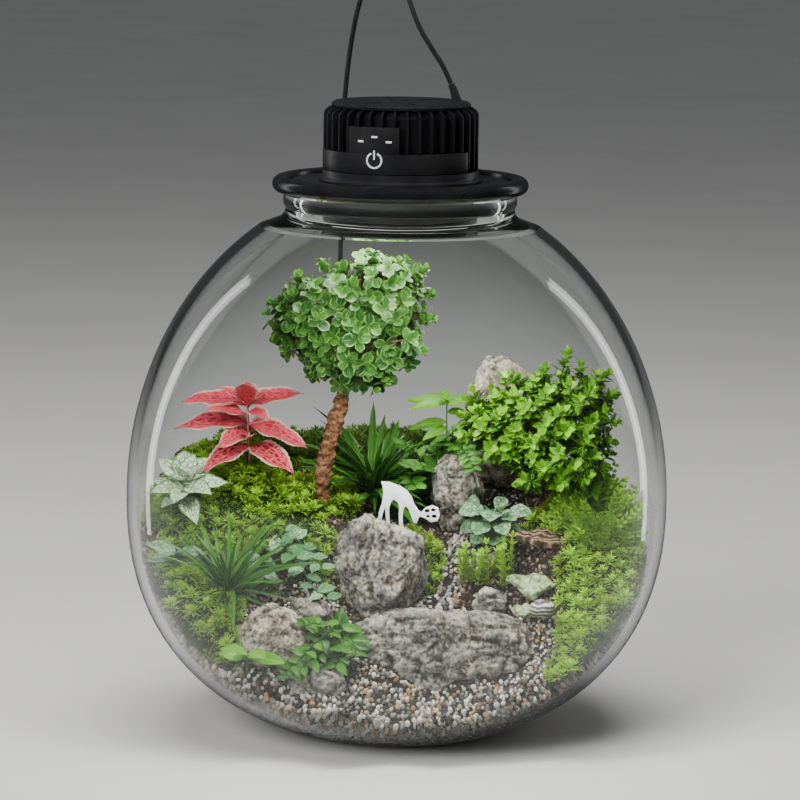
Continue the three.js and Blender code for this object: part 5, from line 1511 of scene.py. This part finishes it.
trunk_finish = new_finish("trunk_finish", {"Roughness": 0.8})
flat_grain = node(
    trunk_finish, "Mapping", {"Vector": on_object(trunk_finish), "Scale": (1.0, 1.0, 2.6)}
).outputs["Vector"]
bark_tone = node(
    trunk_finish,
    "Math",
    {0: speckle(trunk_finish, 130, 8, 0.75, flat_grain), 1: speckle(trunk_finish, 420, 7, 0.7)},
    operation="MULTIPLY",
)
wire(
    trunk_finish,
    "Base Color",
    ramp(
        trunk_finish,
        bark_tone.outputs[0],
        [(0.16, (0.03, 0.012, 0.007)), (0.25, (0.14, 0.06, 0.028)), (0.36, (0.36, 0.2, 0.1))],
    ),
)
emboss(trunk_finish, bark_tone.outputs[0], 0.002)
trunk = ruffled("ficus_trunk", 4, 0.0015, 240, 9)
new_part("trunk", trunk, trunk_finish, "trunk", "ficus_trunk")

CROWN = [
    ((-29, 12, 240), (38, 26, 29)),
    ((-14, 12, 259), (27, 20, 20)),
    ((-5, 10, 234), (20, 18, 21)),
    ((-54, 12, 245), (20, 16, 19)),
    ((-28, 11, 217), (28, 18, 14)),
]
CROWN_TIPS = [
    (-16, 12, 281),
    (-2, 11, 276),
    (14, 10, 273),
    (17, 10, 258),
    (18, 10, 244),
    (12, 9, 226),
    (-45, 12, 275),
    (-58, 12, 266),
    (-72, 12, 239),
    (-74, 12, 252),
    (-66, 8, 226),
    (-50, 4, 211),
    (-8, 4, 208),
]
fig_leaf = leaf_finish(
    "fig_leaf", (0.006, 0.04, 0.011), (0.062, 0.2, 0.022), (0.1, 0.24, 0.05), (0.2, 0.4, 0.08), 1, 0.03, 0, 0.28
)
round_leaf = egg(0.57, 0.55)
fig_shapes = [
    leaf_shape(0.0088, 0.0074, round_leaf, 0.12, 0.26, 6, 4, 0.02, 1),
    leaf_shape(0.0079, 0.0065, round_leaf, 0.25, 0.12, 6, 4, 0.02, 2),
    leaf_shape(0.0092, 0.007, round_leaf, 0.05, 0.32, 6, 4, 0.03, 3),
]
rng = random.Random(31)
crown_top = Vector((-31.5, 12, 210)) * MM
fig_places, twigs = [], []
for shell, gap in ((0.95, 0.0108), (0.8, 0.0125), (0.55, 0.018)):
    for point, normal in lump_points(CROWN, gap, shell, -0.92, int(shell * 100)):
        if rng.random() < 0.16:
            continue
        loose = Vector([rng.uniform(-0.6, 0.6) for _ in range(3)])
        axis = (normal + Vector((0, -0.15, 0.35)) + loose).normalized()
        point += normal * rng.uniform(-0.006, 0.003)
        # Leaves higher in the crown get a paler tint, the lower ones a darker one.
        paleness = 0.15 + 0.5 * min(1, max(0, (point.z - 0.21) / 0.07))
        count = rng.choice((3, 4, 4))
        turn = rng.uniform(0, 6)
        whorl(point, axis, count, 15, rng, 1.0, 3, fig_places, turn, paleness)
        whorl(point + axis * 0.003, axis, 3, 48, rng, 0.75, 3, fig_places, turn + 1, paleness + 0.2)
        if shell > 0.9:
            middle = crown_top.lerp(point, 0.5) + Vector((0, 0, 0.006))
            twigs.append([crown_top, middle, point])
for tip in CROWN_TIPS:
    tip = Vector(tip) * MM
    root = tip.lerp(Vector((-28, 12, 244)) * MM, 0.45)
    twigs.append([root, root.lerp(tip, 0.5) + Vector((0.001, 0, 0.001)), tip])
    for k, share in enumerate((0.45, 0.65, 0.85, 1)):
        at = root.lerp(tip, share)
        whorl(at, tip - root, 4, 25 + 13 * k, rng, 0.95 - 0.1 * k, 3, fig_places, k, 0.4 + 0.15 * k)
strew("fig_leaves", fig_shapes, fig_places, fig_leaf, "fig_leaf", "ficus_crown")
stems("fig_twigs", twigs, 0.0017, trunk_finish, "trunk")

# ---- Fittonias ------------------------------------------------------------------------------
# Two nerve plants with soft, toothed leaves in crossed pairs: one deep pink with pale veins,
# and a smaller one in white with green veins and edges.


def turned_leaf(at, azimuth, pitch, roll, size=1.0):
    """A leaf's place from angles in degrees; those that point sideways face the front."""
    front = 42 * math.cos(math.radians(azimuth))
    angles = Euler([math.radians(a) for a in (roll + front, -pitch, azimuth)])
    return Matrix.Translation(at) @ angles.to_matrix().to_4x4() @ Matrix.Scale(size, 4)


def clump(cad, place, height, lean=(0, 0)):
    """The foot, collar and top of a plant's stem, where its CAD node stands."""
    foot = Vector((place[0] * MM, place[1] * MM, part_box(cad)[0].z))
    collar = foot + Vector((0, 0, 0.01))
    top = foot + Vector((lean[0] * MM, lean[1] * MM, (height + 7) * MM))
    return foot, collar, top


def leafed(name, cad, place, height, leaves, outline, finish, slot, seed, **form):
    """A plant of one stem with leaves given as [rise, azimuth, pitch, length, width, roll]."""
    lean = form.pop("lean", (0, 0))
    thick = form.pop("thick", 0.0026)
    stalk = form.pop("stalk", 0)
    foot, collar, top = clump(cad, place, height, lean)
    shapes, places, stalks = [], [], [[foot, collar, top]]
    rng = random.Random(seed)
    for k, (rise, azimuth, pitch, length, width, *roll) in enumerate(leaves):
        at = collar.lerp(top, rise)
        if stalk:
            turn = math.radians(azimuth)
            far = stalk * rng.uniform(0.4, 1.2) * MM
            end = at + Vector((math.cos(turn), math.sin(turn), 0.25)) * far
            stalks.append([at - Vector((0, 0, 0.002)), at.lerp(end, 0.5) + Vector((0, 0, 0.0012)), end])
            at = end
        shapes.append(leaf_shape(length * MM, width * MM, outline, seed=seed + k, **form))
        place = turned_leaf(at, azimuth, pitch, roll[0] if roll else 0)
        places.append((k, place, min(1, rng.uniform(0, 0.5) + 0.5 * rise**3)))
    strew(name, shapes, places, finish, slot, cad)
    stems(name + "_stem", stalks, thick, finish, slot)


pink_leaf = leaf_finish(
    "pink_leaf", (0.16, 0.002, 0.008), (0.5, 0.018, 0.045), (0.62, 0.1, 0.125), (0.6, 0.48, 0.38), 9, 0.02, 9, 0.38, 0.12
)
leafed(
    "pink_plant",
    "red_fittonia",
    (-88, 20),
    44,
    [
        (1, 168, 12, 42, 17, 10),
        (1, 8, 22, 34, 16, -10),
        (1, 268, 50, 26, 15),
        (0.95, 95, 40, 28, 15),
        (0.72, 186, 8, 44, 19, 14),
        (0.7, 350, -8, 38, 19, -16),
        (0.62, 130, 16, 30, 15),
        (0.6, 45, 14, 30, 15),
        (0.62, 235, -4, 26, 15),
        (0.4, 226, -6, 36, 18, 10),
        (0.4, 318, -8, 36, 19, -10),
        (0.5, 272, 26, 18, 10),
        (1, 215, 44, 22, 11),
        (1, 320, 40, 22, 11),
        (0.9, 300, 10, 24, 12, -6),
        (0.85, 205, 22, 26, 12, 8),
    ],
    toothed(egg(0.45, 0.95), 13, 0.14),
    pink_leaf,
    "pink_leaf",
    50,
    lean=(-2, -2),
    arch=0.26,
    cup=0.3,
    steps=26,
    across=6,
    wave=0.025,
)
white_leaf = leaf_finish(
    "white_leaf", (0.6, 0.7, 0.48), (0.86, 0.9, 0.78), (0.04, 0.17, 0.02), (0.06, 0.2, 0.03), 7, 0.03, 7, 0.38, 0.12
)
leafed(
    "white_plant",
    "white_fittonia",
    (-126, -4),
    22,
    [
        (1, 150, 36, 24, 13),
        (1, 95, 44, 26, 15),
        (1, 30, 34, 26, 14),
        (0.8, 345, 16, 26, 14),
        (0.8, 310, 8, 24, 14),
        (0.7, 262, 4, 26, 13),
        (0.7, 220, 12, 22, 13),
        (0.7, 185, 24, 20, 12),
        (0.9, 60, 62, 20, 12),
        (0.5, 288, -14, 28, 13),
        (1, 250, 50, 16, 9),
        (1, 330, 48, 16, 9),
        (0.9, 0, 20, 20, 10),
        (0.6, 240, -4, 22, 11),
    ],
    egg(0.45, 0.9),
    white_leaf,
    "white_leaf",
    90,
    arch=0.2,
    cup=0.3,
    steps=14,
    across=6,
    wave=0.02,
)

# ---- Grass and ferns ------------------------------------------------------------------------
# A tuft of narrow dark blades on the left slope, and a looser one of broader, paler blades
# that arches behind the tree's foot.


def tuft(name, cad, place, count, reach, broad, arches, lift, finish, slot, seed):
    """Blades in all directions from one crown, the outer ones lower."""
    rng = random.Random(seed)
    _, collar, _ = clump(cad, place, 10)
    blade = egg(0.4, 0.55)
    shapes = [leaf_shape(1, broad, blade, arch, 0.5, 9, 2) for arch in arches]
    places = []
    for k in range(count):
        share = k / count
        pitch = lift[0] + (lift[1] - lift[0]) * share + rng.uniform(-8, 8)
        at = collar + Vector((rng.uniform(-1, 1), rng.uniform(-1, 1), rng.uniform(-1, 2))) * 0.002
        size = rng.uniform(*reach)
        spot = turned_leaf(at, k * 137.5, pitch, rng.uniform(-20, 20), size)
        tip = spot @ Vector((1, 0, -arches[k % len(arches)]))
        if not inside_jar(tip, 0.002):
            spot = spot @ Matrix.Scale(0.6, 4)
        places.append((k % len(arches), spot, rng.random()))
    return strew(name, shapes, places, finish, slot, cad)


grass_green = leaf_finish(
    "grass_green", (0.008, 0.04, 0.005), (0.045, 0.16, 0.014), (0.09, 0.24, 0.035), None, 1, 0.05, 0, 0.26, 0.12
)
tuft(
    "grass",
    "grass_tuft",
    (-98, -48),
    90,
    (0.03, 0.056),
    0.055,
    (0.3, 0.5, 0.7),
    (16, 84),
    grass_green,
    "mid_leaf",
    21,
)
tuft(
    "fern",
    "back_fern",
    (-14, 42),
    110,
    (0.034, 0.06),
    0.1,
    (0.25, 0.4, 0.55),
    (10, 80),
    grass_green,
    "mid_leaf",
    51,
)

# ---- Creepers and small leaves --------------------------------------------------------------
# Wiry stems that run over stones and moss with a leaf at each joint, some of them mottled
# white, and a few seedlings of broader leaves low in front and at the left.


def creep(name, cad, place, ways, shapes, each, finish, slot, seed, thick=0.0011):
    """Stems along points given as [x, y, height over the ground] in millimetres."""
    rng = random.Random(seed)
    _, collar, _ = clump(cad, place, 5)
    lines, places = [], []
    for points in ways:
        way = [collar]
        for x, y, up in points:
            below, _ = drop(x * MM, y * MM, earth_tree)
            stone, _ = drop(x * MM, y * MM, stone_tree)
            height = below.z + up * MM
            way.append(Vector((x * MM, y * MM, max(height, stone.z + 0.003 if stone else 0))))
        lines.append(way)
        for k in range(each):
            share = 0.15 + 0.85 * (k + 0.5) / each
            step = share * (len(way) - 1)
            n = min(int(step), len(way) - 2)
            at = way[n].lerp(way[n + 1], step - n)
            along = (way[n + 1] - way[n]).normalized()
            side = along.cross(Vector((0, -0.4, 1))).normalized() * (1 if k % 2 else -1)
            tip = side + along * rng.uniform(0.1, 0.8) + Vector((0, -0.1, rng.uniform(0, 0.5)))
            face = Vector((rng.uniform(-0.3, 0.3), -0.65, 0.8))
            size = rng.uniform(0.75, 1.1) * (1.1 - 0.35 * share)
            places.append((rng.randrange(len(shapes)), lay_leaf(at, tip, face, size), rng.random()))
    strew(name, shapes, places, finish, slot, cad)
    return stems(name + "_stems", lines, thick, finish, slot)


mottled = leaf_finish(
    "mottled", (0.05, 0.18, 0.05), (0.36, 0.52, 0.33), (0.02, 0.12, 0.02), None, 4, 0.02, 5, 0.32, 0.12
)
point_leaf = egg(0.4, 0.85)
creep(
    "spotted_leaves",
    "spotted_creeper",
    (-76, -22),
    [
        [(-68, -28, 18), (-58, -34, 20), (-48, -42, 22), (-38, -50, 26)],
        [(-66, -20, 16), (-54, -24, 14), (-42, -32, 20)],
        [(-80, -34, 14), (-76, -46, 16)],
    ],
    [leaf_shape(0.0135, 0.0082, point_leaf, 0.2, 0.25, 7, 4, 0.03, k) for k in range(3)],
    11,
    mottled,
    "mid_leaf",
    30,
)
deep_green = leaf_finish(
    "deep_green", (0.01, 0.055, 0.007), (0.07, 0.24, 0.02), (0.15, 0.34, 0.06), None, 6, 0.04, 0, 0.28, 0.15
)
creep(
    "trailing_leaves",
    "trailing_creeper",
    (-38, -52),
    [
        [(-34, -62, 12), (-38, -72, 18), (-50, -82, 16), (-60, -88, 12)],
        [(-30, -58, 16), (-24, -66, 18), (-22, -72, 18)],
        [(-44, -62, 22), (-52, -72, 28)],
        [(-36, -64, 20), (-46, -76, 22), (-56, -82, 16), (-62, -84, 10)],
        [(-32, -60, 22), (-30, -68, 14), (-34, -78, 8)],
    ],
    [leaf_shape(0.0125, 0.0062, point_leaf, 0.25, 0.25, 7, 4, 0.02, k) for k in range(3)],
    16,
    deep_green,
    "dark_leaf",
    61,
)
fresh_green = leaf_finish(
    "fresh_green", (0.04, 0.19, 0.008), (0.15, 0.42, 0.022), (0.3, 0.56, 0.08), None, 5, 0.04, 0, 0.28, 0.15
)
leafed(
    "front_seedling",
    "front_leaves",
    (-84, -80),
    10,
    [
        (1, 200, 12, 15, 12),
        (1, 300, 14, 20, 10),
        (0.8, 330, 4, 24, 9),
        (0.9, 250, 24, 13, 9),
        (0.7, 20, 20, 14, 8),
        (0.8, 170, 30, 10, 7),
    ],
    egg(0.5, 0.7),
    fresh_green,
    "bright_leaf",
    70,
    arch=0.15,
    cup=0.2,
    steps=10,
    across=6,
    thick=0.0014,
)
silver_green = leaf_finish(
    "silver_green", (0.14, 0.27, 0.13), (0.36, 0.5, 0.34), (0.03, 0.13, 0.03), None, 4, 0.03, 5, 0.32, 0.12
)
leafed(
    "pale_seedling",
    "pale_leaves",
    (-128, -40),
    12,
    [
        (1, 175, 20, 18, 9),
        (1, 250, 10, 20, 10),
        (0.9, 320, 14, 22, 9),
        (0.8, 290, 26, 16, 8),
        (0.7, 210, 0, 16, 8),
        (0.7, 340, -6, 18, 8),
    ],
    point_leaf,
    silver_green,
    "silver_leaf",
    75,
    arch=0.2,
    cup=0.25,
    steps=10,
    across=6,
    thick=0.0014,
)
leafed(
    "silver_rosette",
    "silver_plant",
    (58, 12),
    20,
    [
        (1, 188, 4, 15, 12),
        (1, 222, 10, 14, 11),
        (1, 262, 0, 14, 12),
        (0.9, 305, 6, 14, 11),
        (0.9, 350, 8, 13, 10),
        (1, 150, 24, 13, 10),
        (0.7, 205, -16, 15, 11),
        (0.7, 285, -18, 14, 11),
        (1, 60, 40, 12, 9),
        (0.6, 245, -8, 15, 12),
        (0.5, 325, -14, 14, 10),
        (1, 290, 40, 10, 8),
        (0.5, 178, -6, 15, 11),
        (0.3, 270, -10, 15, 12),
        (0.3, 222, -14, 14, 11),
        (0.4, 340, -4, 13, 10),
        (0.8, 240, 30, 10, 8),
    ],
    egg(0.5, 0.5),
    silver_green,
    "silver_leaf",
    80,
    arch=0.25,
    cup=0.2,
    steps=10,
    across=6,
    wave=0.03,
    thick=0.0013,
    stalk=9,
)
creep(
    "vine",
    "vine_leaves",
    (22, 50),
    [
        [(20, 34, 34), (14, 24, 40), (8, 16, 44)],
        [(30, 40, 52), (40, 12, 62), (46, 2, 52)],
        [(12, 44, 38), (0, 36, 44)],
        [(24, 44, 46), (30, 30, 58), (36, 22, 66)],
        [(18, 40, 24), (8, 26, 30), (12, 14, 34)],
    ],
    [leaf_shape(0.0105, 0.0056, point_leaf, 0.2, 0.25, 6, 4, 0.02, k) for k in range(3)],
    26,
    deep_green,
    "mid_leaf",
    44,
)
leafed(
    "tall_seedling",
    "seedling",
    (30, 62),
    62,
    [
        (1, 172, 8, 26, 8),
        (1, 200, 0, 24, 7),
        (1, 20, 18, 18, 6),
        (1, 330, 14, 16, 6),
        (1, 250, 30, 14, 6),
        (1, 100, 34, 16, 6),
        (0.8, 185, -4, 24, 8),
        (0.75, 225, -10, 20, 7),
        (1, 140, 20, 18, 6),
        (1, 290, 10, 14, 6),
        (0.9, 0, 6, 14, 6),
    ],
    egg(0.42, 0.8),
    fresh_green,
    "bright_leaf",
    84,
    arch=0.2,
    cup=0.25,
    steps=9,
    across=4,
    thick=0.0014,
)

# ---- Bush -----------------------------------------------------------------------------------
# A dense little bush at the right: upright shoots with small glossy leaves in crossed pairs.
BUSH = [
    ((80, 29, 178), (29, 18, 25)),
    ((107, 29, 186), (21, 16, 20)),
    ((60, 29, 174), (21, 14, 20)),
    ((98, 25, 158), (29, 19, 23)),
]
BUSH_TIPS = [
    (102, 32, 220),
    (126, 32, 209),
    (130, 29, 197),
    (88, 30, 211),
    (69, 29, 206),
    (43, 27, 193),
    (127, 22, 170),
]
glossy = leaf_finish(
    "glossy", (0.006, 0.05, 0.005), (0.2, 0.5, 0.018), (0.28, 0.56, 0.06), None, 1, 0.05, 0, 0.2, 0.15
)
glossy_shapes = [
    leaf_shape(0.0095, 0.0052, egg(0.5, 0.75), 0.1, 0.3, 5, 2, 0, k) for k in range(2)
] + [leaf_shape(0.0085, 0.0046, egg(0.5, 0.75), 0.25, 0.2, 5, 2, 0, 4)]
rng = random.Random(81)
bush_places, shoots = [], []
bush_foot = Vector((88, 34, 120)) * MM


def shoot(root, tip, joints, size):
    shoots.append([root, root.lerp(tip, 0.55), tip])
    for k in range(joints):
        share = 0.35 + 0.65 * k / (joints - 1)
        scale = size * (1.05 - 0.3 * share)
        axis = (tip - root).normalized()
        pitch = 18 + 40 * share**3
        paleness = 0.15 + 0.5 * share**2
        whorl(root.lerp(tip, share), axis, 4, pitch, rng, scale, 3, bush_places, 0.8 * k, paleness)


for shell, gap in ((0.9, 0.0105), (0.6, 0.016)):
    for point, normal in lump_points(BUSH, gap, shell, -0.8, int(shell * 100)):
        lean = (normal + Vector((0, -0.1, 0.7))).normalized()
        shoot(point - lean * 0.008, point + lean * rng.uniform(0.003, 0.008), 4, 1.0)
for tip in BUSH_TIPS:
    tip = Vector(tip) * MM
    shoot(tip.lerp(Vector((88, 29, 176)) * MM, 0.45), tip, 6, 1.0)
strew("bush_leaves", glossy_shapes, bush_places, glossy, "dark_leaf", "bush_right")
bush_stem = [
    [Vector((88, 34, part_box("bush_right")[0].z * 1000)) * MM, bush_foot, Vector((86, 29, 172)) * MM]
]
stems("bush_stem", bush_stem, 0.005, trunk_finish, "dark_leaf")
stems("bush_shoots", shoots, 0.0011, glossy, "dark_leaf")

# ---- Spike moss and upright moss ------------------------------------------------------------
# Feathery flat sprays at the top right, and a stand of bright mossy shoots beside the path.


def spray_shape(seed, pairs=6):
    """A flat feathered spray along +X: a rib with leaflets that shorten to the tip."""
    bm = bmesh.new()
    layer = bm.loops.layers.uv.new("UVMap")
    rng = random.Random(seed)

    def leaflet(foot, along, long, wide):
        aside = Vector((-along.y, along.x, 0)) * wide
        drop_by = Vector((0, 0, -0.12 * long))
        corners = [foot, foot + along * long * 0.5 - aside, foot + along * long + drop_by]
        corners.append(foot + along * long * 0.5 + aside)
        face = bm.faces.new([bm.verts.new(corner) for corner in corners])
        for loop, mark in zip(face.loops, (0, 0.5, 1, 0.5)):
            loop[layer].uv = (mark, 0.5)

    for k in range(pairs):
        t = k / pairs
        foot = Vector((t, 0, -0.25 * t * t))
        for side in (1, -1):
            lean = math.radians(48 + rng.uniform(-8, 8)) * side
            long = (0.27 - 0.13 * t) * rng.uniform(0.8, 1.1) * (0.6 + min(1, 4 * t) * 0.4)
            leaflet(foot, Vector((math.cos(lean), math.sin(lean), 0)), long, 0.062)
    leaflet(Vector((0, 0, 0)), Vector((1, 0, -0.25)).normalized(), 1.03, 0.014)
    mesh = bpy.data.meshes.new("spray")
    bm.to_mesh(mesh)
    bm.free()
    return mesh


spray_green = tinted_leaf("spray_green", (0.006, 0.036, 0.004), (0.17, 0.42, 0.022), (0.42, 0.68, 0.06))
sprays = [spray_shape(k) for k in range(3)]
rng = random.Random(91)
spray_places = []
_, collar, _ = clump("selaginella", (122, 14), 16)
for k in range(210):
    turn, reach = rng.uniform(0, 2 * math.pi), math.sqrt(rng.random())
    x, y = 0.124 + 0.024 * reach * math.cos(turn), 0.014 + 0.024 * reach * math.sin(turn)
    below, _ = drop(x, y, floor_tree)
    if below is None:
        continue
    crown = 0.03 * (1 - reach) ** 0.7
    at = Vector((x, y, below.z + rng.uniform(0, crown)))
    size = rng.uniform(0.016, 0.025)
    pitch = rng.uniform(15, 80)
    spot = turned_leaf(at, math.degrees(turn) + rng.uniform(-50, 50), pitch, 0, size)
    if inside_jar(at, 0.004) and inside_jar(spot @ Vector((1, 0, -0.25)), 0.002):
        spray_places.append((rng.randrange(3), spot, min(1, rng.random() * 0.6 + crown * 16)))
strew("sprays", sprays, spray_places, spray_green, "mid_leaf", "selaginella", smooth=False)

upright_places = []
foot, collar, _ = clump("upright_moss", (54, -6), 10)
needle_shoots = [spikes(6, 1.0, 0.24, 34, 60, 50 + k, tiers=2, stalk=0.3) for k in range(4)]
for k in range(12):
    share = k / 11
    foot_x, foot_y = -0.016 + 0.03 * share, rng.uniform(-0.009, 0.003)
    base = collar + Vector((foot_x, foot_y, -0.004 - 0.5 * abs(foot_y)))
    tall = rng.uniform(0.016, 0.029) * (1 - 0.35 * abs(share - 0.6))
    tip = base + Vector((rng.uniform(-0.005, 0.005), rng.uniform(-0.006, 0), tall))
    steps = 6
    for n in range(steps):
        at = base.lerp(tip, n / (steps - 1))
        lie = (tip - base).normalized().to_track_quat("Z", "Y").to_matrix().to_4x4()
        spin = Matrix.Rotation(rng.uniform(0, 6), 4, "Z")
        size = 0.0066 * (1.05 - 0.35 * n / steps)
        place = Matrix.Translation(at) @ lie @ spin @ Matrix.Scale(size, 4)
        upright_places.append((rng.randrange(4), place, min(1, 0.1 + 0.85 * n / steps)))
strew(
    "mossy_shoots",
    needle_shoots,
    upright_places,
    bright_moss,
    "bright_moss",
    "upright_moss",
    smooth=False,
)
